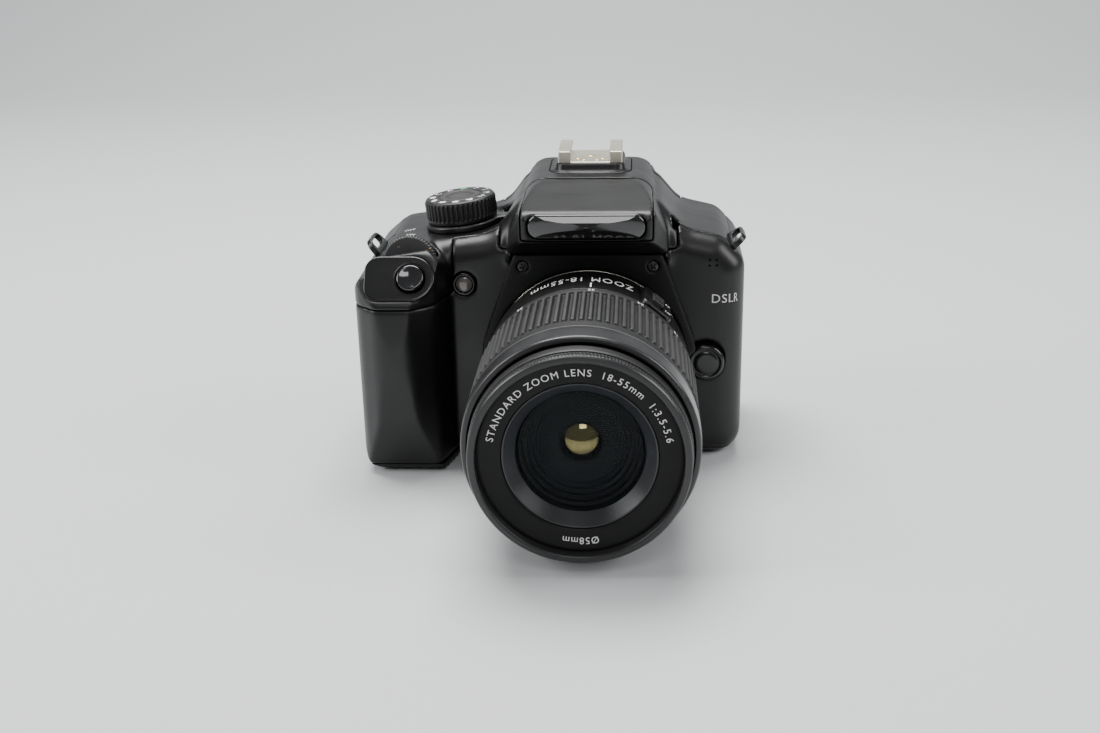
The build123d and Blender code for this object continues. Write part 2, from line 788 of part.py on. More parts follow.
gate_y = sensor_y - 5.8
gate_t = 3.6
curtain_t = 0.6
curtain_half = 13.0
curtain_z = (axis_z - 8.8, axis_z + 8.8)
curtain_travel = 17.2
with BuildPart() as shutter_unit:
    add(box_tool((-24, gate_y, 5), (24, gate_y + gate_t, 55)))
    add(box_tool((-11.8, gate_y - 1, axis_z - 8), (11.8, gate_y + 9, axis_z + 8)),
        mode=Mode.SUBTRACT)
    add(box_tool((-curtain_half - 0.3, gate_y + 1.5 - 0.3, curtain_z[0] - curtain_travel - 0.3),
                 (curtain_half + 0.3, gate_y + 1.5 + curtain_t + 0.3, curtain_z[1] + 0.3)),
        mode=Mode.SUBTRACT)
save(shutter_unit, "shutter_unit")

with BuildPart() as shutter_curtain:
    add(box_tool((-curtain_half, gate_y + 1.5, curtain_z[0]),
                 (curtain_half, gate_y + 1.5 + curtain_t, curtain_z[1])))
save(shutter_curtain, "shutter_curtain")

with BuildPart() as image_sensor:
    add(box_tool((-15, sensor_y, axis_z - 12), (15, sensor_y + 2.4, axis_z + 12)))
save(image_sensor, "image_sensor")

with BuildPart() as main_board:
    add(box_tool((-40, sensor_y + 3, 7), (44, sensor_y + 4.4, 56)))
save(main_board, "main_board")

with BuildPart() as lcd_panel:
    with BuildSketch(Plane(origin=(screen_x, back_y - 6.5, screen_z), x_dir=(1, 0, 0),
                           z_dir=(0, 1, 0))):
        Rectangle(screen_w - 3, screen_h - 3)
    extrude(amount=4.3)
save(lcd_panel, "lcd_panel")

with BuildPart() as lcd_window:
    with BuildSketch(Plane(origin=(screen_x, back_y - 1.6, screen_z), x_dir=(1, 0, 0),
                           z_dir=(0, 1, 0))):
        RectangleRounded(screen_w - 0.2, screen_h - 0.2, 2.4)
    extrude(amount=1.8)
save(lcd_window, "lcd_window")

# ---- push keys on the back ----------------------------------------------------
for key_name, (key_x, key_z, key_r) in rear_keys.items():
    key_seat = Plane(origin=(key_x, back_y, key_z), x_dir=(1, 0, 0), z_dir=(0, 1, 0))
    with BuildPart() as rear_key:
        with BuildSketch(key_seat.offset(-wall - 1.0)):
            Circle(key_r)
        extrude(amount=wall + 1.0 + key_proud)
        with BuildSketch(key_seat.offset(-wall - 1.2)):
            Circle(key_r + key_flange)
        extrude(amount=1.0)
    save(rear_key, key_name)

# ---- lens -------------------------------------------------------------------
lens_r = 34.25
ring_rear = 25.8
rib_span = (29.0, 55.5)
ring_front = 61.2
band_front = 70.0
collar_front = 74.4
knurl_front = 78.4
sleeve_r = 30.6
sleeve_in_r = 28.4
filter_r = 29.0
filter_depth = 4.0
thread_length = 2.6
thread_relief = 0.4


def lens_turn(points):
    """Solid of revolution about the lens axis from (radius, forward) points."""
    with BuildPart() as made:
        with BuildSketch(Plane(origin=(0, flange_y, axis_z), x_dir=(1, 0, 0),
                               z_dir=(0, 0, 1))) as profile:
            with BuildLine():
                Polyline(*[(r, -forward) for r, forward in points], close=True)
            make_face()
        revolve(axis=Axis((0, flange_y, axis_z), (0, -1, 0)))
    return made.part


with BuildPart() as lens_bayonet:
    add(lens_turn([(24.6, -4.5), (26.9, -4.5), (26.9, 0.05), (mount_r, 0.05),
                   (mount_r, 3), (24.6, 3)]))
    add(rod_tool(Plane(origin=(ring_screw_circle, flange_y, axis_z), x_dir=(1, 0, 0),
                       z_dir=(0, -1, 0)), pin_r + running_fit, -1, 1.9),
        mode=Mode.SUBTRACT)
save(lens_bayonet, "lens_bayonet")

af_plane = Plane(
    origin=(0, flange_y - 17, axis_z), x_dir=(0, -1, 0), z_dir=(0.643, 0, 0.766)
)
af_seat = af_plane.offset(33.0)
with BuildPart() as lens_barrel:
    add(lens_turn([(24.6, 3.05), (31.4, 3.05), (32.6, 6), (33.0, 18), (33.8, ring_rear - 0.3),
                   (sleeve_r, ring_rear - 0.3), (sleeve_r, 66), (sleeve_in_r, 66),
                   (sleeve_in_r, 24), (24.6, 24)]))
    add(slab_tool(af_seat, 15.5, 11, 2, -1.5, 1.6))
    add(slab_tool(af_seat, 10.6, 4.6, 0.8, -1.0, 3), mode=Mode.SUBTRACT)
save(lens_barrel, "lens_barrel")

with BuildPart() as af_switch:
    with BuildSketch(af_seat.offset(-0.9)):
        with Locations((-2.0, 0)):
            RectangleRounded(6.2, 4.3, 0.7)
    extrude(amount=2.8)
    for ridge in range(3):
        with BuildSketch(af_seat.offset(1.9)):
            with Locations((-3.6 + 1.6 * ridge, 0)):
                Rectangle(0.7, 3.6)
        extrude(amount=0.5)
save(af_switch, "af_switch")

rib_count = 86
with BuildPart() as zoom_ring:
    add(lens_turn([(sleeve_r + running_fit, ring_rear), (33.9, ring_rear),
                   (33.9, rib_span[0]), (33.2, rib_span[0]), (33.2, rib_span[1]),
                   (33.9, rib_span[1]), (33.9, ring_front),
                   (sleeve_r + running_fit, ring_front)]))
    with BuildSketch(axis_front.offset(rib_span[0])):
        with PolarLocations(33.65, rib_count):
            Rectangle(1.2, 1.6)
    extrude(amount=rib_span[1] - rib_span[0])
save(zoom_ring, "zoom_ring")

with BuildPart() as front_band:
    add(lens_turn([(sleeve_r + running_fit, ring_front + 0.3), (lens_r, ring_front + 0.3),
                   (lens_r, 64), (34.0, band_front - 0.6), (33.4, band_front),
                   (32.1, band_front), (32.1, 66.2),
                   (sleeve_r + running_fit, 66.2)]))
save(front_band, "front_band")

with BuildPart() as inner_barrel:
    add(lens_turn([(26.5, 34), (sleeve_in_r - running_fit, 34),
                   (sleeve_in_r - running_fit, band_front + 0.4),
                   (31.7, band_front + 0.4), (31.7, collar_front), (27.6, collar_front),
                   (27.6, 71), (26.5, 71)]))
save(inner_barrel, "inner_barrel")

with BuildPart() as front_element:
    add(lens_turn([(0, 64), (26.4, 64), (26.4, 68), (22.4, 69.5), (0, 72.5)]))
save(front_element, "front_element")

with BuildPart() as focus_ring:
    add(lens_turn([(26.9, collar_front + 0.3), (31.4, collar_front + 0.3),
                   (31.4, knurl_front - 0.5), (30.9, knurl_front), (filter_r, knurl_front),
                   (filter_r, knurl_front - thread_length),
                   (filter_r + thread_relief, knurl_front - thread_length - 0.2),
                   (filter_r + thread_relief, knurl_front - filter_depth + 0.7),
                   (26.9, knurl_front - filter_depth + 0.7)]))
save(focus_ring, "focus_ring")

with BuildPart() as name_ring:
    add(lens_turn([(22.2, collar_front - 1.2), (26.2, collar_front - 1.2),
                   (26.85, knurl_front - filter_depth - 0.1),
                   (26.85, knurl_front - filter_depth + 0.9),
                   (22.2, knurl_front - filter_depth - 0.4)]))
save(name_ring, "name_ring")

with BuildPart() as rear_element:
    add(lens_turn([(0, -3), (24.5, -3), (24.5, 2.5), (0, 2.5)]))
save(rear_element, "rear_element")
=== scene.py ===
import json
import bmesh
import bpy
import numpy as np
from mathutils import Matrix, Vector


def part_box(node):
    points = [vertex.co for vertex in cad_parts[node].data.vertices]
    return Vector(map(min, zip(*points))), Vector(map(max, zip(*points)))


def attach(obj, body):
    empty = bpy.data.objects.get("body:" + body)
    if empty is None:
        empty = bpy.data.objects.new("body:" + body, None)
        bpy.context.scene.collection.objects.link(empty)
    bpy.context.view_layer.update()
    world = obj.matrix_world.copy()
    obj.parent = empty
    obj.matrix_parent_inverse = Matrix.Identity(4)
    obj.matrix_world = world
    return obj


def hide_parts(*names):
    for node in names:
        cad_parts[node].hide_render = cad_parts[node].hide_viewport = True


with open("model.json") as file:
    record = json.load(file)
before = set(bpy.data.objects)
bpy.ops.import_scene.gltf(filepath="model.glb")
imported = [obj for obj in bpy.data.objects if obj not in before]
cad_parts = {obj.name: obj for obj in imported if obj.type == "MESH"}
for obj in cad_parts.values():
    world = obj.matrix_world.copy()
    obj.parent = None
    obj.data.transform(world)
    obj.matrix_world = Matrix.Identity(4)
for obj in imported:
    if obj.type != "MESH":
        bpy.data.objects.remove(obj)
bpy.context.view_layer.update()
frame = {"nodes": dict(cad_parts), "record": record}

nodes = frame["nodes"]
record = frame["record"]
body_of = {part: body for body, parts in record["behaviour"]["bodies"].items() for part in parts}
mm = 0.001

# --- studio: a pale plain floor, soft lights and the camera --------------------
# The sheet of paper curves up behind the camera body. Four soft boxes light it,
# the largest one overhead, and the view looks down on the lens from in front.


def shader(name):
    """A new material, its node tree and its Principled shader."""
    material = bpy.data.materials.new(name)
    material.use_nodes = True
    return material, material.node_tree, material.node_tree.nodes["Principled BSDF"]


def grid_mesh(name, points, wrap_rows=False, wrap_columns=False):
    """Quads between neighbouring points of a grid; wrapping joins the last to the first.
    Points that meet at a pole are merged, and a closed shape is turned to face outwards
    by the sign of the volume its faces enclose, the sum of a . (b x c) over its corners."""
    rows, columns = points.shape[:2]
    index = np.arange(rows * columns).reshape(rows, columns)
    if wrap_rows:
        index = np.vstack([index, index[:1]])
    if wrap_columns:
        index = np.hstack([index, index[:, :1]])
    quads = np.stack([index[:-1, :-1], index[:-1, 1:], index[1:, 1:], index[1:, :-1]], -1)
    quads = quads.reshape(-1, 4)
    flat = points.reshape(-1, 3)
    if wrap_columns:
        a, b, c, d = (flat[quads[:, k]] - flat.mean(0) for k in range(4))
        volume = np.sum(a * np.cross(b, c)) + np.sum(a * np.cross(c, d))
        if volume < 0:
            quads = quads[:, ::-1]
    mesh = bpy.data.meshes.new(name)
    mesh.from_pydata(flat.tolist(), [], quads.tolist())
    work = bmesh.new()
    work.from_mesh(mesh)
    bmesh.ops.remove_doubles(work, verts=work.verts, dist=2e-7)
    work.to_mesh(mesh)
    work.free()
    mesh.polygons.foreach_set("use_smooth", np.ones(len(mesh.polygons), bool))
    mesh.update()
    return mesh


def floor_points(half, back, bend):
    """Grid of a flat table that turns up behind in a quarter circle, then rises straight."""
    s = np.linspace(0, 1, 61)
    turn = np.clip((s - 0.4) / 0.3, 0, 1) * np.pi / 2
    y = -half + (back + half) * np.clip(s / 0.4, 0, 1) + bend * np.sin(turn)
    z = bend * (1 - np.cos(turn)) + 2.0 * np.clip((s - 0.7) / 0.3, 0, 1)
    x = np.linspace(-2 * half, 2 * half, 9)
    return np.stack([np.broadcast_to(x, (61, 9)), np.repeat(y[:, None], 9, 1),
                     np.repeat(z[:, None], 9, 1)], -1)


paper, _, paper_shader = shader("studio_paper")
paper_shader.inputs["Base Color"].default_value = (0.62, 0.63, 0.635, 1)
paper_shader.inputs["Roughness"].default_value = 0.55
paper_shader.inputs["Specular IOR Level"].default_value = 0.3
floor = bpy.data.objects.new("studio_floor", grid_mesh("studio_floor", floor_points(1.3, 0.7, 0.5)))
floor.data.materials.append(paper)
bpy.context.scene.collection.objects.link(floor)

world = bpy.data.worlds.new("studio_air")
world.use_nodes = True
world.node_tree.nodes["Background"].inputs["Color"].default_value = (0.92, 0.94, 0.97, 1)
world.node_tree.nodes["Background"].inputs["Strength"].default_value = 0.26
bpy.context.scene.world = world


def soft_lamp(name, stands, aims, width, height, power):
    """A rectangular soft light standing at one point and aimed at another."""
    light = bpy.data.lights.new(name, "AREA")
    light.shape = "RECTANGLE"
    light.size, light.size_y, light.energy = width, height, power
    lamp = bpy.data.objects.new(name, light)
    lamp.location = stands
    lamp.rotation_euler = (Vector(aims) - Vector(stands)).to_track_quat("-Z", "Y").to_euler()
    bpy.context.scene.collection.objects.link(lamp)


soft_lamp("overhead_light", (-0.12, 0.25, 0.95), (0, -0.02, 0.05), 0.75, 0.5, 19)
soft_lamp("left_light", (-0.95, -0.2, 0.6), (0, -0.03, 0.04), 0.4, 0.6, 7)
soft_lamp("right_light", (0.95, -0.15, 0.6), (0, -0.03, 0.04), 0.4, 0.6, 6)
soft_lamp("front_light", (0.1, -0.9, 0.95), (0, -0.03, 0.04), 0.5, 0.3, 3)

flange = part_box("mount_ring")[0].y
lens_z = (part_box("mount_ring")[0].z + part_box("mount_ring")[1].z) / 2
eye = Vector((15.576 * mm, flange - 423.641 * mm, lens_z + 158.968 * mm))
yaw, pitch, roll = np.radians([-3.82, 20.67, -1.19])
forward = np.array([np.sin(yaw) * np.cos(pitch), np.cos(yaw) * np.cos(pitch), -np.sin(pitch)])
level = np.array([np.cos(yaw), -np.sin(yaw), 0.0])
upward = np.cross(level, forward)
right = np.cos(roll) * level + np.sin(roll) * upward
up = -np.sin(roll) * level + np.cos(roll) * upward
view = Matrix.Identity(4)
for row in range(3):
    view[row][0], view[row][1], view[row][2] = right[row], up[row], -forward[row]
camera = bpy.data.objects.new("camera", bpy.data.cameras.new("camera"))
camera.data.lens = 45.2
camera.data.sensor_width = 36.0
camera.data.clip_start = 0.01
camera.matrix_world = Matrix.Translation(eye) @ view
bpy.context.scene.collection.objects.link(camera)
bpy.context.scene.camera = camera

# --- moulded body covers ---------------------------------------------------------
# Top, front, rear and base covers are thin black polycarbonate mouldings with a fine
# spark-eroded grain. They meet at narrow seams and are held by screws from below.


def wire(tree, kind, inputs=None, **settings):
    """One shader node: its settings, then each input as a constant or as a link."""
    node = tree.nodes.new("ShaderNode" + kind)
    for key, value in settings.items():
        setattr(node, key, value)
    for key, value in (inputs or {}).items():
        if isinstance(value, bpy.types.NodeSocket):
            tree.links.new(value, node.inputs[key])
        else:
            node.inputs[key].default_value = value
    return node


def effect(name, ins, outs):
    """An empty node group with named inputs and outputs, and its two end nodes."""
    group = bpy.data.node_groups.new(name, "ShaderNodeTree")
    for title, kind, value in ins:
        socket = group.interface.new_socket(name=title, in_out="INPUT", socket_type=kind)
        if kind == "NodeSocketFloat":
            socket.default_value = value
    for title in outs:
        group.interface.new_socket(name=title, in_out="OUTPUT", socket_type="NodeSocketFloat")
    start, end = group.nodes.new("NodeGroupInput"), group.nodes.new("NodeGroupOutput")
    return group, start.outputs, end.inputs


grain, grain_in, grain_out = effect(
    "moulded_grain", [("Vector", "NodeSocketVector", 0), ("Pitch", "NodeSocketFloat", 0.0003)],
    ["Height", "Mottle"])
per_metre = wire(grain, "Math", {0: 1.0, 1: grain_in["Pitch"]}, operation="DIVIDE")
pits = wire(grain, "TexNoise", {"Vector": grain_in["Vector"], "Scale": per_metre.outputs[0],
                                "Detail": 3.0, "Roughness": 0.6})
cells = wire(grain, "TexVoronoi", {"Vector": grain_in["Vector"], "Scale": per_metre.outputs[0]},
             feature="SMOOTH_F1")
mixed = wire(grain, "Math", {0: pits.outputs["Fac"], 1: cells.outputs["Distance"]}, operation="ADD")
patches = wire(grain, "TexNoise", {"Vector": grain_in["Vector"], "Scale": 55.0, "Detail": 5.0,
                                   "Roughness": 0.65})
grain.links.new(mixed.outputs[0], grain_out["Height"])
grain.links.new(patches.outputs["Fac"], grain_out["Mottle"])

dust, dust_in, dust_out = effect(
    "handling_marks", [("Vector", "NodeSocketVector", 0), ("Amount", "NodeSocketFloat", 0.3)],
    ["Specks", "Smears"])
specks = wire(dust, "TexVoronoi", {"Vector": dust_in["Vector"], "Scale": 420.0, "Randomness": 1.0})
few = wire(dust, "MapRange", {"Value": specks.outputs["Distance"], "From Min": 0.0,
                              "From Max": 0.09, "To Min": 1.0, "To Max": 0.0})
where = wire(dust, "TexNoise", {"Vector": dust_in["Vector"], "Scale": 90.0, "Detail": 4.0})
there = wire(dust, "MapRange", {"Value": where.outputs["Fac"], "From Min": 0.56, "From Max": 0.66})
both = wire(dust, "Math", {0: few.outputs[0], 1: there.outputs[0]}, operation="MULTIPLY")
weighed = wire(dust, "Math", {0: both.outputs[0], 1: dust_in["Amount"]}, operation="MULTIPLY")
rub = wire(dust, "Mapping", {"Vector": dust_in["Vector"], "Scale": (30.0, 200.0, 60.0),
                             "Rotation": (0.4, 0.7, 0.3)})
smears = wire(dust, "TexNoise", {"Vector": rub.outputs[0], "Scale": 1.0, "Detail": 6.0})
dust.links.new(weighed.outputs[0], dust_out["Specks"])
dust.links.new(smears.outputs["Fac"], dust_out["Smears"])


def object_place(tree):
    """Object coordinates, in metres, of the piece that wears the material."""
    return tree.nodes.new("ShaderNodeTexCoord").outputs["Object"]


def moulded(name, tone, rough, pitch=0.3, depth=0.02, specular=0.5, dusty=0.25, lift=0.5,
            coat=0.0, metallic=0.0):
    """A finish with grain of the given pitch and depth in mm: the mottle lightens the tone
    and moves the roughness, specks of dust lie on it, and smears vary its gloss."""
    material, tree, main = shader(name)
    place = object_place(tree)
    skin = wire(tree, "Group", node_tree=grain)
    tree.links.new(place, skin.inputs["Vector"])
    skin.inputs["Pitch"].default_value = pitch * mm
    marks = wire(tree, "Group", node_tree=dust)
    tree.links.new(place, marks.inputs["Vector"])
    marks.inputs["Amount"].default_value = dusty
    low = [c * (1 - 0.35 * lift) for c in tone] + [1]
    high = [c * (1 + 0.6 * lift) for c in tone] + [1]
    base = wire(tree, "Mix", {0: skin.outputs["Mottle"], 6: low, 7: high}, data_type="RGBA")
    dusted = wire(tree, "Mix", {0: marks.outputs["Specks"], 6: base.outputs[2],
                                7: (0.35, 0.34, 0.32, 1)}, data_type="RGBA")
    uneven = wire(tree, "Math", {0: skin.outputs["Mottle"], 1: marks.outputs["Smears"]},
                  operation="ADD")
    gloss = wire(tree, "MapRange", {"Value": uneven.outputs[0], "From Min": 0.6, "From Max": 1.4,
                                    "To Min": rough * 0.85, "To Max": min(1.0, rough * 1.18)})
    relief = wire(tree, "Bump", {"Height": skin.outputs["Height"], "Strength": 1.0,
                                 "Distance": depth * mm})
    tree.links.new(dusted.outputs[2], main.inputs["Base Color"])
    tree.links.new(gloss.outputs[0], main.inputs["Roughness"])
    tree.links.new(relief.outputs[0], main.inputs["Normal"])
    main.inputs["Specular IOR Level"].default_value = specular
    main.inputs["Metallic"].default_value = metallic
    main.inputs["Coat Weight"].default_value = coat
    return material


cover_black = moulded("cover_black", (0.0042, 0.0042, 0.0044), 0.36, pitch=0.22, depth=0.009,
                      specular=0.42)
panel_black = moulded("panel_black", (0.0032, 0.0032, 0.0033), 0.45, pitch=0.3, depth=0.014,
                      specular=0.3)


def finished(name, material):
    """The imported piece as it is, in one finish."""
    nodes[name].data.materials.clear()
    nodes[name].data.materials.append(material)
    return nodes[name]


def softened(name, voxel, passes, material):
    """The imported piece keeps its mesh; merged, rebuilt on a fine grid of cells and relaxed,
    its corners take the rounding of a moulding."""
    piece = finished(name, material)
    weld = piece.modifiers.new("merge", "WELD")
    weld.merge_threshold = 0.02 * mm
    cells = piece.modifiers.new("cells", "REMESH")
    cells.mode = "VOXEL"
    cells.voxel_size = voxel * mm
    cells.use_smooth_shade = True
    relax = piece.modifiers.new("relax", "SMOOTH")
    relax.factor, relax.iterations = 0.5, passes


softened("top_cover", 0.55, 9, cover_black)
softened("front_cover", 0.68, 9, cover_black)
softened("rear_cover", 0.72, 6, cover_black)
softened("bottom_cover", 0.72, 4, cover_black)

# --- mount panel and its screws ---------------------------------------------------
# A flat matt plastic plate behind the lens mount, cut to a tapering outline. Two
# black cross-head screws hold its upper corners, four hold the steel mount ring.
softened("front_panel", 0.5, 5, panel_black)


def lathe(profile, origin, across, along, turns, ridge=None, weight=None):
    """Points (radius, height) carried round an axis: origin + radius (cos a u + sin a v)
    + height n. A ridge function of the angle, times each point's weight, adds to radius."""
    n = np.array(along, float) / np.linalg.norm(along)
    u = np.array(across, float) - np.dot(across, n) * n
    u /= np.linalg.norm(u)
    v = np.cross(n, u)
    angle = np.arange(turns) * 2 * np.pi / turns
    radius = np.repeat(profile[:, :1], turns, axis=1)
    if ridge is not None:
        radius = radius + weight[:, None] * ridge(angle)[None]
    return (np.array(origin) + radius[..., None] * (np.cos(angle)[:, None] * u
            + np.sin(angle)[:, None] * v)[None] + profile[:, 1][:, None, None] * n)


def eased(corners, cut, steps=4):
    """Closed outline through corners, each rounded by the curve (1-t)^2 a + 2t(1-t) p + t^2 c,
    where a and c lie on its two edges, cut away from the corner p."""
    corners = np.asarray(corners, float)
    t = np.linspace(0, 1, steps)[None, :, None]

    def reach(other):
        edge = other - corners
        length = np.linalg.norm(edge, axis=1, keepdims=True)
        return corners + edge / length * np.minimum(cut, 0.45 * length)

    a, c = reach(np.roll(corners, 1, 0))[:, None], reach(np.roll(corners, -1, 0))[:, None]
    return ((1 - t) ** 2 * a + 2 * t * (1 - t) * corners[:, None] + t ** 2 * c).reshape(-1, 2)


def place(name, mesh, material, body, slot, hidden=(), flat_faces=True):
    """Link a mesh as one piece on its CAD body, with normals that keep flat faces flat."""
    piece = bpy.data.objects.new(name, mesh)
    bpy.context.scene.collection.objects.link(piece)
    mesh.materials.append(material)
    if flat_faces:
        even = piece.modifiers.new("even_normals", "WEIGHTED_NORMAL")
        even.keep_sharp = True
    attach(piece, body)
    if hidden:
        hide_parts(*hidden)
    return piece


def turned(name, corners, cut, seat, material, body, slot, hidden=(), turns=192, ridge=None,
           weigh=None):
    """A ring with a closed outline of (radius, height) corners in mm, on seat (origin, u, n)."""
    profile = eased(corners, cut) * mm
    weight = weigh(profile) if weigh else None
    points = lathe(profile, *seat, turns, ridge, weight)
    mesh = grid_mesh(name, points, wrap_rows=True, wrap_columns=True)
    return place(name, mesh, material, body, slot, hidden)


def capped(name, points, seat, material, body, slot, hidden=(), turns=96):
    """A solid whose outline of (radius, height) points in mm starts and ends on the axis."""
    profile = np.asarray(points, float) * mm
    mesh = grid_mesh(name, lathe(profile, *seat, turns), wrap_columns=True)
    return place(name, mesh, material, body, slot, hidden)


def cross_head(name, centre, n, u, radius, slot_half, depth, material):
    """Polar grid of a screw head: height falls from a low dome, and by depth inside a cross
    whose arms are slot_half wide, |x| or |y| < half width, with softened edges."""
    r = np.concatenate([np.linspace(0, 0.72, 22), [0.8, 0.88, 0.95, 1.0, 1.0, 1.0]])
    drop = np.concatenate([np.zeros(22), [0.0, 0.02, 0.06, 0.14, 0.6, 0.9]])
    angle = np.arange(72) * 2 * np.pi / 72
    x, y = r[:, None] * np.cos(angle), r[:, None] * np.sin(angle)
    arm = np.clip((slot_half - np.minimum(abs(x), abs(y))) / 0.06 + 0.5, 0, 1)
    inside = np.clip((0.62 - np.maximum(abs(x), abs(y))) / 0.06 + 0.5, 0, 1)
    h = (0.14 * (1 - (r ** 2))[:, None] - depth * arm * inside) - drop[:, None]
    n, u = np.array(n, float), np.array(u, float)
    v = np.cross(n, u)
    points = (np.array(centre) + radius * (x[..., None] * u + y[..., None] * v + h[..., None] * n))
    mesh = grid_mesh(name, points, wrap_columns=True)
    return place(name, mesh, material, "body", "steel", flat_faces=False)


screw_black = moulded("blackened_screw", (0.05, 0.05, 0.052), 0.33, pitch=0.2, depth=0.004,
                      metallic=0.7)
panel_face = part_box("front_panel")[0].y
screw_x, screw_z, ring_screw_circle = 20.8 * mm, 69.2 * mm, 29.3 * mm
for side, twist in ((-1, 0.3), (1, 0.9)):
    cross_head(f"panel_screw_{'left' if side < 0 else 'right'}",
               (side * screw_x, panel_face + 0.2 * mm, screw_z), (0, -1, 0),
               (np.cos(twist), 0, np.sin(twist)), 1.75 * mm, 0.13, 0.5, screw_black)
for quarter in range(4):
    a = np.pi / 4 + quarter * np.pi / 2
    head = cross_head(f"mount_ring_screw_{quarter}",
                      (ring_screw_circle * np.cos(a), flange + 0.3 * mm,
                       lens_z + ring_screw_circle * np.sin(a)),
                      (0, -1, 0), (1, 0, 0), 1.45 * mm, 0.13, 0.5, screw_black)
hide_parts("screws")

# --- pop-up flash -------------------------------------------------------------------
# The hinged lid of the hump carries the flash tube. It is the same grained moulding as
# the covers, with a polished black badge plate pressed into its front edge.
softened("flash_head", 0.45, 9, cover_black)
gloss_black = moulded("gloss_black", (0.006, 0.006, 0.0065), 0.10, pitch=1.2, depth=0.002,
                      specular=0.6, dusty=0.35, coat=0.6)


def plate_ring(width, height, corner, count=96):
    """Rounded rectangle of count points: corner centres plus corner times (cos a, sin a),
    the angle running a quarter turn at each of the four corners."""
    quarter = count // 4
    a = np.linspace(0, np.pi / 2, quarter)
    a = (a[None] + np.arange(4)[:, None] * np.pi / 2).reshape(-1)
    sign_x = np.repeat([1, -1, -1, 1], quarter)
    sign_y = np.repeat([1, 1, -1, -1], quarter)
    return np.stack([sign_x * (width / 2 - corner) + corner * np.cos(a),
                     sign_y * (height / 2 - corner) + corner * np.sin(a)], -1)


def plate(name, rings, origin, u, n, material, body, slot, hidden=(), shape=None, shut=True):
    """A plate from rings (width, height, corner, lift) in mm, each a rounded rectangle at its
    own height, closed in the middle; shape may move the points afterwards."""
    n, u = np.array(n, float) / np.linalg.norm(n), np.array(u, float)
    u = u - np.dot(u, n) * n
    u /= np.linalg.norm(u)
    v = np.cross(n, u)
    flat = np.stack([plate_ring(w, h, c) for w, h, c, lift in rings])
    lift = np.array([r[3] for r in rings])[:, None]
    if shut:
        flat = np.concatenate([flat[:1] * 0, flat, flat[-1:] * 0])
        lift = np.concatenate([lift[:1], lift, lift[-1:]])
    x, y, z = flat[..., 0], flat[..., 1], np.broadcast_to(lift, flat.shape[:2]).copy()
    if shape:
        x, y, z = shape(x, y, z)
    points = np.array(origin) + mm * (x[..., None] * u + y[..., None] * v + z[..., None] * n)
    mesh = grid_mesh(name, points, wrap_columns=True)
    return place(name, mesh, material, body, slot, hidden)


def badge_bow(x, y, z):
    """The badge bows with the nose: its ends fall back by x squared, its top edge arches."""
    return x, y + 0.9 * (1 - (x / 18.5) ** 2) * (y > 0), z - 1.1 * (x / 18.5) ** 2


badge_low, badge_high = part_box("flash_plate")
badge_mid = (badge_low.z + badge_high.z) / 2
plate("badge_plate", [(36.6, 7.4, 3.3, -2.0), (36.6, 7.4, 3.3, -0.1), (36.2, 7.0, 3.2, 0.25),
                      (35.4, 6.2, 2.9, 0.5), (30, 4.2, 2.0, 0.8), (20, 2.4, 1.2, 0.95),
                      (8, 1.0, 0.5, 1.0)],
      (0, badge_low.y + 0.8 * mm, badge_mid), (1, 0, 0), (0, -1, 0), gloss_black,
      "flash_head", "gloss_black", ["flash_plate"], shape=badge_bow)

frosted, frosted_tree, frosted_shader = shader("frosted_window")
ribs = wire(frosted_tree, "TexWave", {"Vector": object_place(frosted_tree), "Scale": 380.0},
            bands_direction="X")
frosted_tree.links.new(
    wire(frosted_tree, "Bump", {"Height": ribs.outputs["Fac"], "Distance": 0.0002}).outputs[0],
    frosted_shader.inputs["Normal"])
frosted_shader.inputs["Base Color"].default_value = (0.75, 0.77, 0.76, 1)
frosted_shader.inputs["Roughness"].default_value = 0.22
finished("flash_window", frosted)

# --- accessory shoe ---------------------------------------------------------------
# A black plastic foot on the hump with a bent steel shoe on it: two side rails with
# inturned lips, worn bright along their edges, and five sprung contacts in the floor.


def crisp_copy(name, width, material, turn=38):
    """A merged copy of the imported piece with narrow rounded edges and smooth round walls."""
    mesh = nodes[name].data.copy()
    mesh.name = name + "_finished"
    mesh.materials.clear()
    work = bmesh.new()
    work.from_mesh(mesh)
    bmesh.ops.remove_doubles(work, verts=work.verts, dist=0.01 * mm)
    bmesh.ops.dissolve_limit(work, angle_limit=np.radians(1.0), verts=work.verts,
                             edges=work.edges)
    work.to_mesh(mesh)
    work.free()
    mesh.polygons.foreach_set("use_smooth", np.ones(len(mesh.polygons), bool))
    piece = bpy.data.objects.new(name + "_finished", mesh)
    bpy.context.scene.collection.objects.link(piece)
    mesh.materials.append(material)
    if width:
        edge = piece.modifiers.new("edge", "BEVEL")
        edge.width = width * mm
        edge.segments = 2
        edge.limit_method = "ANGLE"
        edge.angle_limit = np.radians(turn)
        edge.use_clamp_overlap = True
    even = piece.modifiers.new("even_normals", "WEIGHTED_NORMAL")
    even.keep_sharp = False
    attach(piece, body_of[name])
    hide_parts(name)
    return piece


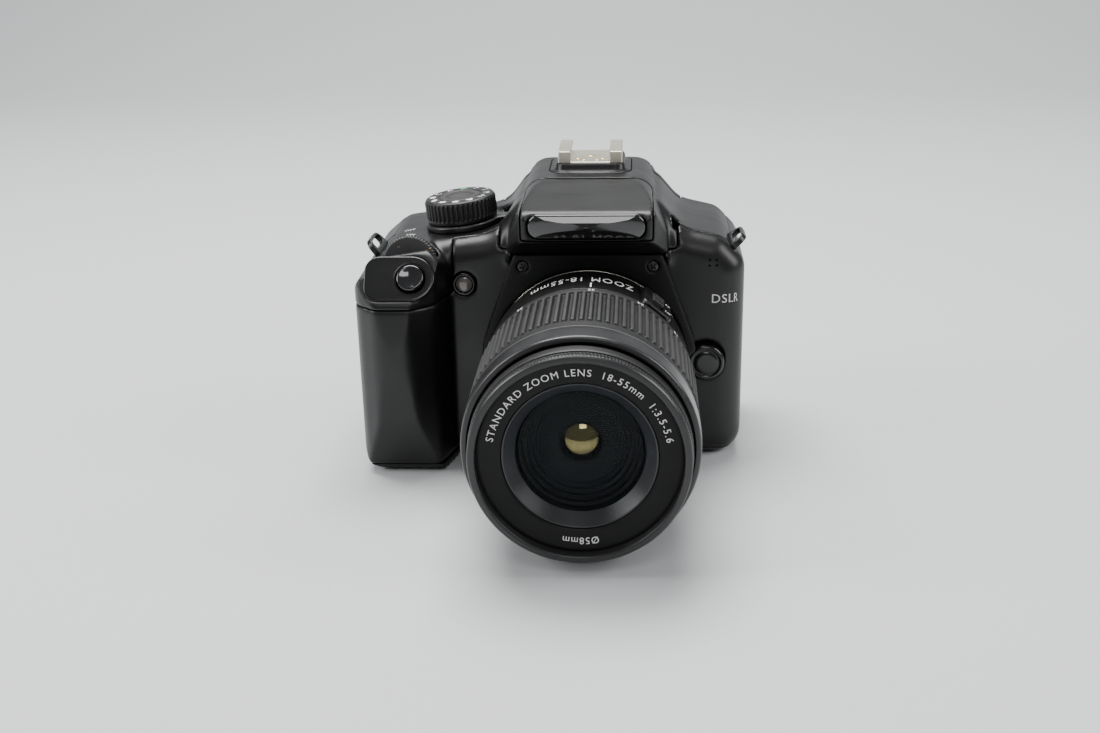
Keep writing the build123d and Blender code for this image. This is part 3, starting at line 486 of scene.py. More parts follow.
worn_steel = moulded("worn_steel", (0.52, 0.49, 0.43), 0.3, pitch=0.5, depth=0.004, metallic=1.0,
                     dusty=0.1)
shoe_low, shoe_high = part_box("hot_shoe")
shoe_steel = moulded("shoe_steel", (0.70, 0.66, 0.55), 0.34, pitch=0.4, depth=0.004, dusty=0.1)
tree = shoe_steel.node_tree
height = wire(tree, "SeparateXYZ", {0: object_place(tree)})
above = wire(tree, "MapRange", {"Value": height.outputs["Z"], "From Min": shoe_low.z + 2.9 * mm,
                                "From Max": shoe_low.z + 3.0 * mm})
main = tree.nodes["Principled BSDF"]
foot = wire(tree, "Mix", {0: above.outputs[0], 6: (0.011, 0.011, 0.0115, 1),
                          7: main.inputs["Base Color"].links[0].from_socket}, data_type="RGBA")
tree.links.new(foot.outputs[2], main.inputs["Base Color"])
tree.links.new(above.outputs[0], main.inputs["Metallic"])
crisp_copy("hot_shoe", 0.35, shoe_steel)
contact_gold = moulded("contact_gold", (0.75, 0.56, 0.25), 0.28, pitch=0.4, depth=0.003,
                       metallic=1.0)
shoe_floor = shoe_low.z + 3.2 * mm
for index, (x, y, r) in enumerate([(0, 16.5, 1.5), (-4.2, 11.6, 0.9), (4.2, 11.6, 0.9),
                                   (-2.2, 9.4, 0.9), (2.2, 9.4, 0.9)]):
    capped(f"shoe_contact_{index}", [(0, -0.4), (r, -0.4), (r, 0.0), (r * 0.8, 0.14), (0, 0.2)],
           ((x * mm, y * mm, shoe_floor), (1, 0, 0), (0, 0, 1)), contact_gold, "body", "steel",
           turns=28)

shoe_mid = ((shoe_low.x + shoe_high.x) / 2, (shoe_low.y + shoe_high.y) / 2, shoe_low.z)
# Near-black, nearly glossless finish: painted shade that stands for the dark inside the groove
# round the shoe cover and inside the microphone holes.
gap_shade_black = moulded("gap_shade_black", (0.001, 0.001, 0.001), 0.8, pitch=0.4, depth=0.003,
                     specular=0.1, dusty=0)
# The groove round the shoe cover is a near-black plate showing as a thin rim under the cover:
# painted shade.
plate("shoe_cover_gap_shade", [(28.0, 27.0, 6, -0.3), (28.0, 27.0, 6, 0.02), (27.2, 26.2, 5.7, 0.03)],
      shoe_mid, (1, 0, 0), (0, 0, 1), gap_shade_black, "body", "body_plastic")
plate("shoe_cover", [(27.2, 26.2, 5.7, -0.3), (27.2, 26.2, 5.7, 0.02), (26.8, 25.8, 5.5, 0.2),
                     (25.6, 24.6, 5.0, 0.3), (24.2, 23.4, 4.2, 0.5), (23.4, 22.6, 3.6, 1.0),
                     (23.0, 22.2, 3.3, 2.2), (22.4, 21.6, 3.0, 2.7), (21.8, 21.0, 2.6, 2.85)],
      shoe_mid, (1, 0, 0), (0, 0, 1), cover_black, "body", "body_plastic")

# --- mode dial and power switch ---------------------------------------------------
# A ribbed plastic dial with printed marks turns on a shaft in the top cover, leaning a
# little outwards. The thin lever disc under it is the power switch.
lean = np.radians(6.0)
dial_n = (-np.sin(lean), 0, np.cos(lean))
dial_u = (np.cos(lean), 0, np.sin(lean))
dial_at = (-42.9 * mm, 3 * mm, 75.8 * mm)
dial_seat = (dial_at, dial_u, dial_n)
dial_top = 10.1
dial_black = moulded("dial_black", (0.006, 0.006, 0.0062), 0.42, pitch=0.2, depth=0.01, dusty=0.5)
dial_ribs = 44


def dial_ridge(angle):
    """Flat-topped ribs: a cosine of the rib count, squeezed between -0.55 and 0.55."""
    return np.clip(np.cos(dial_ribs * angle) * 1.6, -1, 1)


def rib_band(profile):
    """Ribs stand on the outer wall only, fading out near its two ends."""
    h = profile[:, 1] / mm
    wall = profile[:, 0] > 11.2 * mm
    fade = np.clip((h - 3.6) / 0.5, 0, 1) * np.clip((dial_top - 0.7 - h) / 0.4, 0, 1)
    return 0.27 * mm * wall * fade


turned("mode_dial_body",
       [(3.05, 2.5), (11.7, 2.5), (11.75, 3.4), (11.7, 3.7), (11.7, 4.2), (11.7, 5.0), (11.7, 6.5),
        (11.7, 8.0), (11.7, 9.1), (11.6, 9.7), (11.1, 10.05), (10.4, dial_top), (7.5, dial_top),
        (7.3, 9.9), (7.0, 9.9), (6.8, dial_top - 0.04), (3.05, dial_top - 0.04)],
       0.22, dial_seat, dial_black, "mode_dial", "body_plastic", ["mode_dial"],
       turns=dial_ribs * 10, ridge=dial_ridge, weigh=rib_band)
hub_bronze = moulded("dial_hub", (0.022, 0.020, 0.018), 0.36, pitch=0.15, depth=0.006, dusty=0.5)
capped("mode_dial_hub", [(0, -4.5), (2.9, -4.5), (2.9, 2.0), (3.4, 9.4), (6.6, 9.7), (6.75, 10.0),
                         (6.6, 10.08), (0, 10.0)], dial_seat, hub_bronze, "mode_dial",
       "body_plastic")
switch_black = moulded("switch_black", (0.01, 0.01, 0.0105), 0.34, pitch=0.2, depth=0.008)


def power_disc(profile, turns, reach, half):
    """Polar grid of the lever disc: rim radius plus reach exp(-(a / half)^4), a from the tab."""
    n, u = np.array(dial_n), np.array(dial_u)
    v = np.cross(n, u)
    angle = np.arange(turns) * 2 * np.pi / turns
    from_tab = np.abs(angle % (2 * np.pi) - np.pi)
    tab = reach * np.exp(-(from_tab / half) ** 4)
    far = np.clip((profile[:, 0] / mm - 11) / 1.5, 0, 1)
    radius = profile[:, :1] + tab[None] * mm * far[:, None]
    return (np.array(dial_at) + radius[..., None] * (np.cos(angle)[:, None] * -u
            + np.sin(angle)[:, None] * v)[None] + profile[:, 1][:, None, None] * n)


disc = eased([(3.3, 0.25), (12.6, 0.25), (12.65, 1.7), (12.2, 2.15), (3.3, 2.15)], 0.25) * mm
place("power_switch_lever",
      grid_mesh("power_switch_lever", power_disc(disc, 240, 4.1, 0.22), True, True),
      switch_black, "power_switch", "body_plastic", ["power_switch"])

white_print = moulded("white_print", (0.72, 0.72, 0.70), 0.5, pitch=0.15, depth=0.004, dusty=0.0,
                      lift=0.2)
green_print = moulded("green_print", (0.05, 0.35, 0.12), 0.5, pitch=0.15, depth=0.004, dusty=0.0,
                      lift=0.2)


def lettered(text, size, spacing=1.0):
    """Outline letters as a flat mesh: vertex places (x, y) in metres, centred, and faces."""
    curve = bpy.data.curves.new("letters", "FONT")
    curve.body, curve.size, curve.space_character = text, size * mm, spacing
    curve.align_x, curve.align_y = "CENTER", "CENTER"
    curve.resolution_u = 3
    holder = bpy.data.objects.new("letters", curve)
    bpy.context.scene.collection.objects.link(holder)
    bpy.context.view_layer.update()
    mesh = bpy.data.meshes.new_from_object(
        holder.evaluated_get(bpy.context.evaluated_depsgraph_get()))
    bpy.data.objects.remove(holder)
    bpy.data.curves.remove(curve)
    return mesh


def printed(name, mesh, bend, material, body, cover=None):
    """Lay a flat mark on the object: bend turns its (x, y) places into points in metres.
    Where a cover is named, the mark is dropped onto that cover's finished surface."""
    flat = np.zeros(len(mesh.vertices) * 3)
    mesh.vertices.foreach_get("co", flat)
    flat = flat.reshape(-1, 3)
    mesh.vertices.foreach_set("co", bend(flat[:, 0], flat[:, 1]).reshape(-1))
    mesh.name = name
    mesh.materials.clear()
    mesh.update()
    piece = bpy.data.objects.new(name, mesh)
    bpy.context.scene.collection.objects.link(piece)
    if cover:
        drop = piece.modifiers.new("drop", "SHRINKWRAP")
        drop.target = cover
        drop.wrap_method = "NEAREST_SURFACEPOINT"
        drop.wrap_mode = "ABOVE_SURFACE"
        drop.offset = 0.03 * mm
        bpy.context.view_layer.update()
        settled = bpy.data.meshes.new_from_object(
            piece.evaluated_get(bpy.context.evaluated_depsgraph_get()))
        piece.modifiers.clear()
        piece.data = settled
        settled.name = name
    piece.data.materials.append(material)
    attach(piece, body)
    return piece


def on_plane(origin, u, n, turn=0.0):
    """Flat place for a mark: origin + x u + y v, turned about the plane's normal."""
    n = np.array(n, float) / np.linalg.norm(n)
    u = np.array(u, float) - np.dot(u, n) * n
    u /= np.linalg.norm(u)
    v = np.cross(n, u)
    a, b = np.cos(turn) * u + np.sin(turn) * v, np.cos(turn) * v - np.sin(turn) * u
    return lambda x, y: np.array(origin) + x[:, None] * a + y[:, None] * b


def emblem(lobes, swell, size, points=36):
    """Filled mark with the outline r = size (1 + swell cos(lobes a)), fanned from its middle."""
    a = np.arange(points) * 2 * np.pi / points
    r = size * mm * (1 + swell * np.cos(lobes * a + np.pi / 2))
    corners = np.stack([r * np.cos(a), r * np.sin(a), 0 * a], -1)
    corners = np.vstack([[0, 0, 0], corners])
    ring = np.arange(1, points + 1)
    fan = np.stack([np.zeros(points, int), ring, np.roll(ring, -1)], -1)
    mesh = bpy.data.meshes.new("emblem")
    mesh.from_pydata(corners.tolist(), [], fan.tolist())
    return mesh


mark_circle = 9.15
dial_marks = ["A", 4, "P", "T", "M", "A1", 3, 5, 6, 2, 0, "C"]
for index, mark in enumerate(dial_marks):
    angle = np.pi / 2 + 0.5 - index * 2 * np.pi / len(dial_marks)
    out = np.cos(angle) * np.array(dial_u) + np.sin(angle) * np.cross(dial_n, dial_u)
    spot = np.array(dial_at) + mark_circle * mm * out + (dial_top + 0.03) * mm * np.array(dial_n)
    mesh = lettered(mark, 3.0) if isinstance(mark, str) else emblem(mark, 0.28, 1.1)
    printed(f"dial_mark_{index}", mesh, on_plane(spot, dial_u, dial_n, angle - np.pi / 2),
            green_print if index == 1 else white_print, "mode_dial")

top_finished = nodes["top_cover"]
for word, spot, turn in (("ON", (-60.8, -2.5, 76.5), -0.5), ("OFF", (-62.0, 4.0, 76.5), 0.2)):
    printed(f"print_{word.lower()}", lettered(word, 2.3),
            on_plane(np.array(spot) * mm, (1, 0, 0), (0, 0, 1), turn), white_print, "body",
            top_finished)
printed("dial_index", emblem(0, 0, 0.5),
        on_plane((-28.8 * mm, 3 * mm, 79.2 * mm), (1, 0, 0), (0, 0, 1)), white_print, "body",
        top_finished)

front_finished = nodes["front_cover"]
skin_y = -19.5 * mm
printed("body_label", lettered("DSLR", 4.2, 1.1),
        on_plane((44.9 * mm, skin_y, 56.5 * mm), (1, 0, 0), (0, -1, 0)), white_print, "body",
        front_finished)
# The four microphone holes are near-black discs dropped onto the cover: painted shade of the holes.
microphone_x, microphone_z = 40.2, 68.7
for index, (x, z) in enumerate([(-1.1, 0.9), (1.1, 0.9), (-1.1, -0.9), (1.1, -0.9)]):
    printed(f"microphone_hole_shade_{index}", emblem(0, 0, 0.42, 16),
            on_plane(((microphone_x + x) * mm, skin_y, (microphone_z + z) * mm), (1, 0, 0),
                     (0, -1, 0)),
            gap_shade_black, "body", front_finished)

# --- main command dial --------------------------------------------------------------
# A finely ridged wheel set edgewise in a slot behind the shutter button. Use has worn
# its black finish through to brass on the crests.
wheel_at = (-57.5 * mm, -23.2 * mm, 69.6 * mm)
wheel_seat = (wheel_at, (1, 0, 0), (0, -0.94, 0.342))
wheel_ridges = 54
wheel_black, tree, main = shader("worn_wheel")
place_in = object_place(tree)
rub_off = wire(tree, "TexNoise", {"Vector": place_in, "Scale": 900.0, "Detail": 5.0})
bare = wire(tree, "MapRange", {"Value": rub_off.outputs["Fac"], "From Min": 0.66, "From Max": 0.73})
coat = wire(tree, "Mix", {0: bare.outputs[0], 6: (0.014, 0.014, 0.015, 1),
                          7: (0.42, 0.27, 0.09, 1)}, data_type="RGBA")
tree.links.new(coat.outputs[2], main.inputs["Base Color"])
tree.links.new(bare.outputs[0], main.inputs["Metallic"])
gloss = wire(tree, "MapRange", {"Value": rub_off.outputs["Fac"], "To Min": 0.3, "To Max": 0.5})
tree.links.new(gloss.outputs[0], main.inputs["Roughness"])


def wheel_ridge(angle):
    """Round ridges: |cos| of half the ridge count, so crests are broad and valleys narrow."""
    return np.sqrt(np.abs(np.cos(wheel_ridges * angle / 2))) - 1


def wheel_rim(profile):
    """The ridges stand on the rim only."""
    return 0.42 * mm * (profile[:, 0] > 8.5 * mm)


turned("main_dial_wheel", [(2, -2.45), (8.3, -2.45), (8.95, -2.0), (8.99, -1.2), (8.99, 0),
                           (8.99, 1.2), (8.95, 2.0), (8.3, 2.45), (2, 2.45)], 0.3, wheel_seat,
       wheel_black, "main_dial", "body_plastic", ["main_dial"], turns=wheel_ridges * 8,
       ridge=wheel_ridge, weigh=wheel_rim)

# --- shutter platform and button ---------------------------------------------------
# A satin black D-shaped plate lies on the sloping nose of the grip. The button in it is
# a dished glossy cap on a two-stage switch.
run, rise = 11.6, 15.2
slope_n = np.array([0, -rise, run]) / np.hypot(rise, run)
slope_mid = np.array([-59.6, -32.8, 67.4]) * mm
button_x = 3.4
satin_black = moulded("satin_black", (0.004, 0.004, 0.0042), 0.22, pitch=0.25, depth=0.004,
                      specular=0.5)


def wrapped(circles, count=128):
    """Outline drawn tight round circles (x, y, r): in each direction the circle that reaches
    furthest, c . d + r, gives the point c + r d."""
    a = np.arange(count) * 2 * np.pi / count
    d = np.stack([np.cos(a), np.sin(a)], -1)
    circles = np.asarray(circles, float)
    furthest = np.argmax(circles[:, :2] @ d.T + circles[:, 2:], axis=0)
    return circles[furthest, :2] + circles[furthest, 2:] * d


def platform_grid(edge_steps, hole_steps):
    """Rings from the plate's edge, drawn in by an inset at each height, to the round hole."""
    rows = []
    for inset, lift in edge_steps:
        outline = wrapped([(-6.6, 2.7, 5 - inset), (-6.6, -2.7, 5 - inset),
                           (button_x, 0, 7.7 - inset)])
        rows.append(np.column_stack([outline, np.full(len(outline), lift)]))
    for radius, lift in hole_steps:
        outline = wrapped([(button_x, 0, radius)])
        rows.append(np.column_stack([outline, np.full(len(outline), lift)]))
    flat = np.stack(rows) * mm
    v = np.cross(slope_n, (1, 0, 0))
    return (slope_mid + flat[..., :1] * np.array([1.0, 0, 0]) + flat[..., 1:2] * v
            + flat[..., 2:] * slope_n)


place("shutter_surround_plate",
      grid_mesh("shutter_surround_plate",
                platform_grid([(0.08, -0.8), (0.08, -0.1), (0.2, 0.1), (0.5, 0.19), (1.0, 0.2)],
                              [(5.5, 0.2), (5.1, 0.12), (4.75, -0.1), (4.62, -0.4), (4.6, -0.8)]),
                True, True),
      satin_black, "body", "gloss_black", ["shutter_surround"])
button_at = slope_mid + np.array([button_x, 0, 0]) * mm
capped("shutter_button_cap",
       [(0, -3.2), (4.35, -3.2), (4.35, 0.6), (4.3, 0.95), (4.1, 1.25), (3.8, 1.38), (3.4, 1.3),
        (2.6, 1.06), (1.4, 0.85), (0, 0.78)], (button_at, (1, 0, 0), slope_n), gloss_black,
       "shutter_button", "gloss_black", ["shutter_button"])

# --- timer lamp, release button and flash button --------------------------------------
# The lamp is a clear amber lens in a bright-edged ring. The release button is a black
# boss with a raised centre, and the flash button is a small domed key on the hump.
lamp_seat = ((-40.7 * mm, -20 * mm, 61.6 * mm), (1, 0, 0), (0, -1, 0))
turned("timer_lamp_ring", [(2.7, -2), (3.8, -2), (3.8, 0.3), (3.5, 0.55), (3.0, 0.6), (2.8, 0.3)],
       0.12, lamp_seat, satin_black, "body", "glass", ["self_timer_lamp"], turns=64)
amber = moulded("amber_lens", (0.10, 0.085, 0.07), 0.12, pitch=0.8, depth=0.01, coat=1.0)
capped("timer_lamp_lens", [(0, -1.9), (2.7, -1.9), (2.7, 0.2), (2.4, 0.5), (1.7, 0.75),
                           (0.9, 0.87), (0, 0.9)], lamp_seat, amber, "body", "glass", turns=64)
release_seat = ((38.4 * mm, -20 * mm, 35.4 * mm), (1, 0, 0), (0, -1, 0))
capped("release_button_cap",
       [(0, -6), (6.08, -6), (6.08, 2.3), (5.9, 2.9), (5.4, 3.3), (4.9, 3.4), (4.7, 3.15),
        (4.4, 3.0), (3.9, 3.0), (3.7, 3.2), (3.4, 3.38), (2.5, 3.4), (0, 3.38)],
       release_seat, satin_black, "release_button", "body_plastic", ["release_button"])
crisp_copy("flash_button", 0.3, satin_black)

# --- steel mount ring and bayonet --------------------------------------------------
# Chromed brass ring screwed to the body and the matching ring on the lens, with the
# spring-loaded locking pin between them.
lens_seat = ((0, flange, lens_z), (0, 0, 1), (0, -1, 0))
bayonet_black = moulded("bayonet_black", (0.004, 0.004, 0.0042), 0.4, pitch=0.3, depth=0.008)
turned("mount_ring_plate", [(27.0, -4.0), (31.6, -4.0), (31.6, 0), (27.0, 0)], 0.2, lens_seat,
       worn_steel, "body", "steel", ["mount_ring"])
turned("lens_bayonet_ring", [(24.6, -4.5), (26.9, -4.5), (26.9, 0.06), (31.5, 0.06), (31.5, 2.9),
                             (24.6, 2.9)], 0.2, lens_seat, bayonet_black, "body", "steel",
       ["lens_bayonet"])

# --- lens barrel and focus switch ---------------------------------------------------
# A satin plastic tube with a waisted rear end. The raised plate at its upper right side
# holds the slide switch for automatic or manual focus.
barrel_black = moulded("barrel_black", (0.004, 0.004, 0.0042), 0.33, pitch=0.25, depth=0.008)
turned("lens_barrel_tube",
       [(24.6, 3.05), (31.3, 3.05), (31.9, 4.2), (32.5, 6), (32.85, 10), (33.0, 18), (33.5, 24),
        (33.75, 25.45), (30.6, 25.5), (30.6, 66), (29.0, 66), (29.0, 24), (24.6, 24)], 0.35,
       lens_seat, barrel_black, "body", "body_plastic", ["lens_barrel"])
switch_n = np.array([0.643, 0, 0.766])
switch_u = np.array([0, -1.0, 0])
switch_at = np.array([0, flange - 17 * mm, lens_z]) + 33.0 * mm * switch_n
plate("focus_switch_plate",
      [(15.4, 10.9, 2, -1.4), (15.4, 10.9, 2, 1.1), (15.0, 10.5, 1.9, 1.45), (14.4, 9.9, 1.7, 1.58),
       (10.8, 4.8, 0.85, 1.55), (10.5, 4.5, 0.8, 1.4), (10.5, 4.5, 0.8, -0.9)],
      switch_at, switch_u, switch_n, barrel_black, "body", "body_plastic")
crisp_copy("af_switch", 0.18, moulded("switch_grey", (0.035, 0.035, 0.036), 0.4, pitch=0.2,
                                      depth=0.01))


def round_lens(radius, forward, turn, upright=1, stretch=1.0):
    """Wrap a mark on the barrel: angle = turn + x / radius, depth = forward + stretch y;
    upright -1 turns it over, so that it reads from behind the camera body."""
    def bend(x, y):
        a = turn + upright * x / (radius * mm)
        f = forward * mm - upright * stretch * y
        return np.stack([radius * mm * np.sin(a), flange - f, lens_z + radius * mm * np.cos(a)], -1)
    return bend


switch_top, word_gap = 1.62, 3.9
switch_side = np.cross(switch_n, switch_u)
for word, ahead in (("AF", -3.6), ("MF", 3.2)):
    at = switch_at + (switch_top * switch_n + ahead * switch_u) * mm
    printed(f"print_{word.lower()}", lettered(word, 1.9),
            on_plane(at + word_gap * mm * switch_side, switch_u, switch_n, np.pi / 2), white_print,
            "body")
printed("barrel_title", lettered("ZOOM 18-55mm", 4.2, 1.15),
        round_lens(33.06, 13.6, -0.05, -1, 1.45), white_print, "body")
printed("barrel_index", lettered("I", 4.6), round_lens(33.55, 21.6, 0.05, 1, 1.3), white_print,
        "body")

# --- zoom ring ------------------------------------------------------------------------
# A moulded rubber sleeve with square ribs round its middle turns on the barrel. A painted
# highlight lightens the rib crests in patches, and white figures give the focal length.
zoom_ribs = 86
rubber, tree, main = shader("ribbed_rubber")
place_in = object_place(tree)
axis, axis_in, axis_out = effect("turned_about_lens", [("Vector", "NodeSocketVector", 0),
                                 ("Height", "NodeSocketFloat", lens_z)], ["Radius", "Forward"])
parts = wire(axis, "SeparateXYZ", {0: axis_in["Vector"]})
rise_z = wire(axis, "Math", {0: parts.outputs["Z"], 1: axis_in["Height"]}, operation="SUBTRACT")
x_sq = wire(axis, "Math", {0: parts.outputs["X"], 1: 2.0}, operation="POWER")
z_sq = wire(axis, "Math", {0: rise_z.outputs[0], 1: 2.0}, operation="POWER")
total = wire(axis, "Math", {0: x_sq.outputs[0], 1: z_sq.outputs[0]}, operation="ADD")
root = wire(axis, "Math", {0: total.outputs[0], 1: 0.5}, operation="POWER")
depth = wire(axis, "Math", {0: flange, 1: parts.outputs["Y"]}, operation="SUBTRACT")
axis.links.new(root.outputs[0], axis_out["Radius"])
axis.links.new(depth.outputs[0], axis_out["Forward"])
reach = wire(tree, "Group", node_tree=axis)
tree.links.new(place_in, reach.inputs["Vector"])
reach.inputs["Height"].default_value = lens_z
# Painted highlight: past a radius of 34.0 mm, on the rib crests, the rubber is mixed towards light
# grey, in patches set by the grain's mottle.
crest = wire(tree, "MapRange", {"Value": reach.outputs["Radius"], "From Min": 34.0 * mm,
                                "From Max": 34.2 * mm})
skin = wire(tree, "Group", node_tree=grain)
tree.links.new(place_in, skin.inputs["Vector"])
skin.inputs["Pitch"].default_value = 0.35 * mm
crest_patchiness = wire(tree, "MapRange", {"Value": skin.outputs["Mottle"], "From Min": 0.25, "From Max": 0.75,
                               "To Min": 0.35, "To Max": 1.0})
crest_highlight = wire(tree, "Math", {0: crest.outputs[0], 1: crest_patchiness.outputs[0]}, operation="MULTIPLY")
tone = wire(tree, "Mix", {0: crest_highlight.outputs[0], 6: (0.0035, 0.0035, 0.0037, 1),
                          7: (0.034, 0.034, 0.035, 1)}, data_type="RGBA")
tree.links.new(tone.outputs[2], main.inputs["Base Color"])
soft = wire(tree, "MapRange", {"Value": skin.outputs["Mottle"], "To Min": 0.48, "To Max": 0.66})
tree.links.new(soft.outputs[0], main.inputs["Roughness"])
relief = wire(tree, "Bump", {"Height": skin.outputs["Height"], "Distance": 0.02 * mm})
tree.links.new(relief.outputs[0], main.inputs["Normal"])


def zoom_ridge(angle):
    """Square ribs with rounded shoulders: (cos(count a) + 0.16) times 3.2, held in 0 to 1."""
    return np.clip((np.cos(zoom_ribs * angle) + 0.16) * 3.2, 0, 1)


rib_rows = [(33.15, 29.4), (33.15, 30.0), (33.15, 36), (33.15, 37.6), (33.3, 38.0), (33.3, 46),
            (33.3, 54.5), (33.3, 55.1)]


def zoom_weight(profile):
    """Ribs rise to the full radius between the two smooth bands of the sleeve."""
    r, f = profile[:, 0] / mm, profile[:, 1] / mm
    inside = np.clip((f - 29.15) / 0.5, 0, 1) * np.clip((55.35 - f) / 0.5, 0, 1)
    return np.where(r > 32.5, (34.22 - r) * inside, 0) * mm


turned("zoom_ring_sleeve",
       [(30.66, 25.8), (33.85, 25.8), (33.88, 27.5), (33.85, 28.8), (33.15, 29.1)] + rib_rows +
       [(33.3, 55.5), (33.8, 55.8), (33.85, 58.5), (33.85, 61.2), (30.66, 61.2)], 0.14,
       lens_seat, rubber, "zoom_ring", "rubber", ["zoom_ring"], turns=zoom_ribs * 12,
       ridge=zoom_ridge, weigh=zoom_weight)
for figure, turn in (("18", 0.95), ("24", 0.52), ("35", 0.06), ("55", -0.62)):
    printed(f"zoom_figure_{figure}", lettered(figure, 2.3), round_lens(33.93, 27.4, turn, -1),
            white_print, "zoom_ring")

# --- front band and collar -----------------------------------------------------------
# A smooth satin band closes the front of the barrel. The collar ahead of it slides out
# with the inner barrel when the lens is zoomed, and has a coarser speckled finish.
band_grey = moulded("band_grey", (0.016, 0.016, 0.017), 0.3, pitch=0.2, depth=0.006)
turned("front_band_ring",
       [(30.7, 61.5), (34.1, 61.5), (34.25, 61.8), (34.25, 64), (34.15, 67), (34.0, 69.3),
        (33.5, 69.95), (32.2, 70.0), (32.15, 66.25), (30.7, 66.2)], 0.3, lens_seat, band_grey,
       "body", "body_plastic", ["front_band"])
line_grey = moulded("line_grey", (0.16, 0.16, 0.16), 0.28, pitch=0.3, depth=0.003)
turned("front_band_line", [(34.05, 61.35), (34.22, 61.35), (34.22, 61.6), (34.05, 61.6)], 0.05,
       lens_seat, line_grey, "body", "body_plastic")
collar_black = moulded("collar_speckle", (0.010, 0.010, 0.0105), 0.46, pitch=0.5, depth=0.03,
                       dusty=0.5)
turned("inner_barrel_tube",
       [(26.5, 34), (28.95, 34), (28.95, 70.4), (31.5, 70.4), (31.7, 70.7), (31.65, 73.6),
        (31.45, 74.4), (27.6, 74.4), (27.6, 71), (26.5, 71)], 0.2, lens_seat, collar_black,
       "inner_barrel", "body_plastic", ["inner_barrel"])

# --- manual focus ring and filter thread --------------------------------------------
# The narrow knurled ring at the very front turns the front cell for focusing. Its inside
# wall is the filter thread, and two bright edges frame the rim.
knurls = 200
rim_black = moulded("rim_black", (0.014, 0.014, 0.0145), 0.3, pitch=0.25, depth=0.006)


def knurl(angle):
    """Fine teeth: cosine of the tooth count, clipped to flat crests."""
    return np.clip(np.cos(knurls * angle) * 1.4, -1, 1)


def knurl_rows(profile):
    """Teeth stand on the outer wall between the two plain edges of the ring."""
    r, f = profile[:, 0] / mm, profile[:, 1] / mm
    fade = np.clip((f - 74.95) / 0.15, 0, 1) * np.clip((77.1 - f) / 0.15, 0, 1)
    return 0.13 * mm * (r > 31.0) * fade


thread_rows = [(29.05 + 0.16 * (k % 2), 77.9 - 0.32 * k) for k in range(9)]
turned("focus_ring_rim",
       [(26.9, 74.75), (31.2, 74.75), (31.25, 74.9), (31.25, 75.2), (31.25, 76.0), (31.25, 76.8),
        (31.2, 77.15), (30.9, 77.3), (31.2, 77.5), (31.3, 77.8), (30.9, 78.3), (29.6, 78.4),
        (29.2, 78.15)] + thread_rows + [(28.9, 75.15), (26.9, 75.05)], 0.09, lens_seat,
       rim_black, "focus_ring", "body_plastic", ["focus_ring"], turns=knurls * 5,
       ridge=knurl, weigh=knurl_rows)

# --- name ring and front glass ------------------------------------------------------
# A black ring printed with the lens's figures faces forward round a grey cone. Inside
# lies the coated front element, with the inner groups and the iris behind it.
ring_black = moulded("ring_black", (0.0028, 0.0028, 0.0029), 0.46, pitch=0.25, depth=0.01,
                     specular=0.22)
turned("name_ring_face",
       [(22.1, 73.3), (26.2, 73.3), (26.85, 74.4), (26.85, 75.15), (28.8, 75.2), (28.8, 75.45),
        (28.0, 75.5), (22.6, 75.0), (22.1, 74.6)], 0.12, lens_seat, ring_black, "focus_ring",
       "gloss_black", ["name_ring"])


def round_face(radius, forward, turn, tilt=0.0):
    """Bend a mark round the front of the lens: angle = turn + x / radius, r = radius + y,
    and its depth falls by tilt for each unit of y."""
    def bend(x, y):
        a, r = turn + x / (radius * mm), radius * mm + y
        deep = flange - (forward * mm + tilt * y)
        return np.stack([r * np.sin(a), deep, lens_z + r * np.cos(a)], -1)
    return bend


printed("lens_title", lettered("STANDARD ZOOM LENS  18-55mm  1:3.5-5.6", 3.0, 1.2),
        round_face(25.4, 75.36, 0.0, 0.09), white_print, "focus_ring")
printed("filter_figure", lettered("\u00d858mm", 2.9, 1.15), round_face(25.4, 75.36, np.pi, 0.09),
        white_print, "focus_ring")
cone_grey = moulded("cone_grey", (0.017, 0.018, 0.020), 0.34, pitch=0.3, depth=0.006)
turned("front_cone",
       [(18.3, 69.2), (22.6, 70.6), (22.0, 72.9), (21.9, 74.5), (21.5, 74.4), (18.45, 70.9),
        (18.3, 70.7)], 0.12, lens_seat, cone_grey, "front_cell", "glass", ["front_element"])
deep_black = moulded("baffle_black", (0.0016, 0.0016, 0.0016), 0.5, pitch=0.4, depth=0.003,
                     specular=0.15, dusty=0)
baffle = [(26.2, 64.2), (26.2, 68.5), (18.5, 70.4), (17.9, 69.6), (17.6, 68.9), (16.6, 68.7),
          (16.4, 67.6), (15.2, 67.4), (15.0, 66.3), (13.8, 66.1), (13.6, 64.9), (12.6, 64.7),
          (12.5, 64.2)]
turned("front_baffle", baffle, 0.08, lens_seat, deep_black, "front_cell", "glass")


def coated_glass(name, tint, spread):
    """Clear glass seen through a tinted mirror layer: Fresnel mixes see-through and gloss."""
    material, tree, main = shader(name)
    tree.nodes.remove(main)
    out = tree.nodes["Material Output"]
    clear = wire(tree, "BsdfTransparent", {"Color": (0.93, 0.95, 0.94, 1)})
    mirror = wire(tree, "BsdfAnisotropic", {"Color": (*tint, 1), "Roughness": 0.015})
    angle = wire(tree, "Fresnel", {"IOR": spread})
    both = wire(tree, "MixShader", {0: angle.outputs[0], 1: clear.outputs[0], 2: mirror.outputs[0]})
    tree.links.new(both.outputs[0], out.inputs["Surface"])
    return material


def lens_surface(name, radius, edge, crown, material, thickness=1.2):
    """A glass whose front is forward = crown - (crown - edge)(r / radius)^2, flat behind."""
    r = np.linspace(0, 1, 24)
    front = np.stack([r * radius, crown - (crown - edge) * r ** 2], -1)
    back = np.array([[radius, edge - thickness], [0, edge - thickness]])
    return capped(name, np.vstack([front, back]), lens_seat, material, "front_cell", "glass",
                  turns=128)


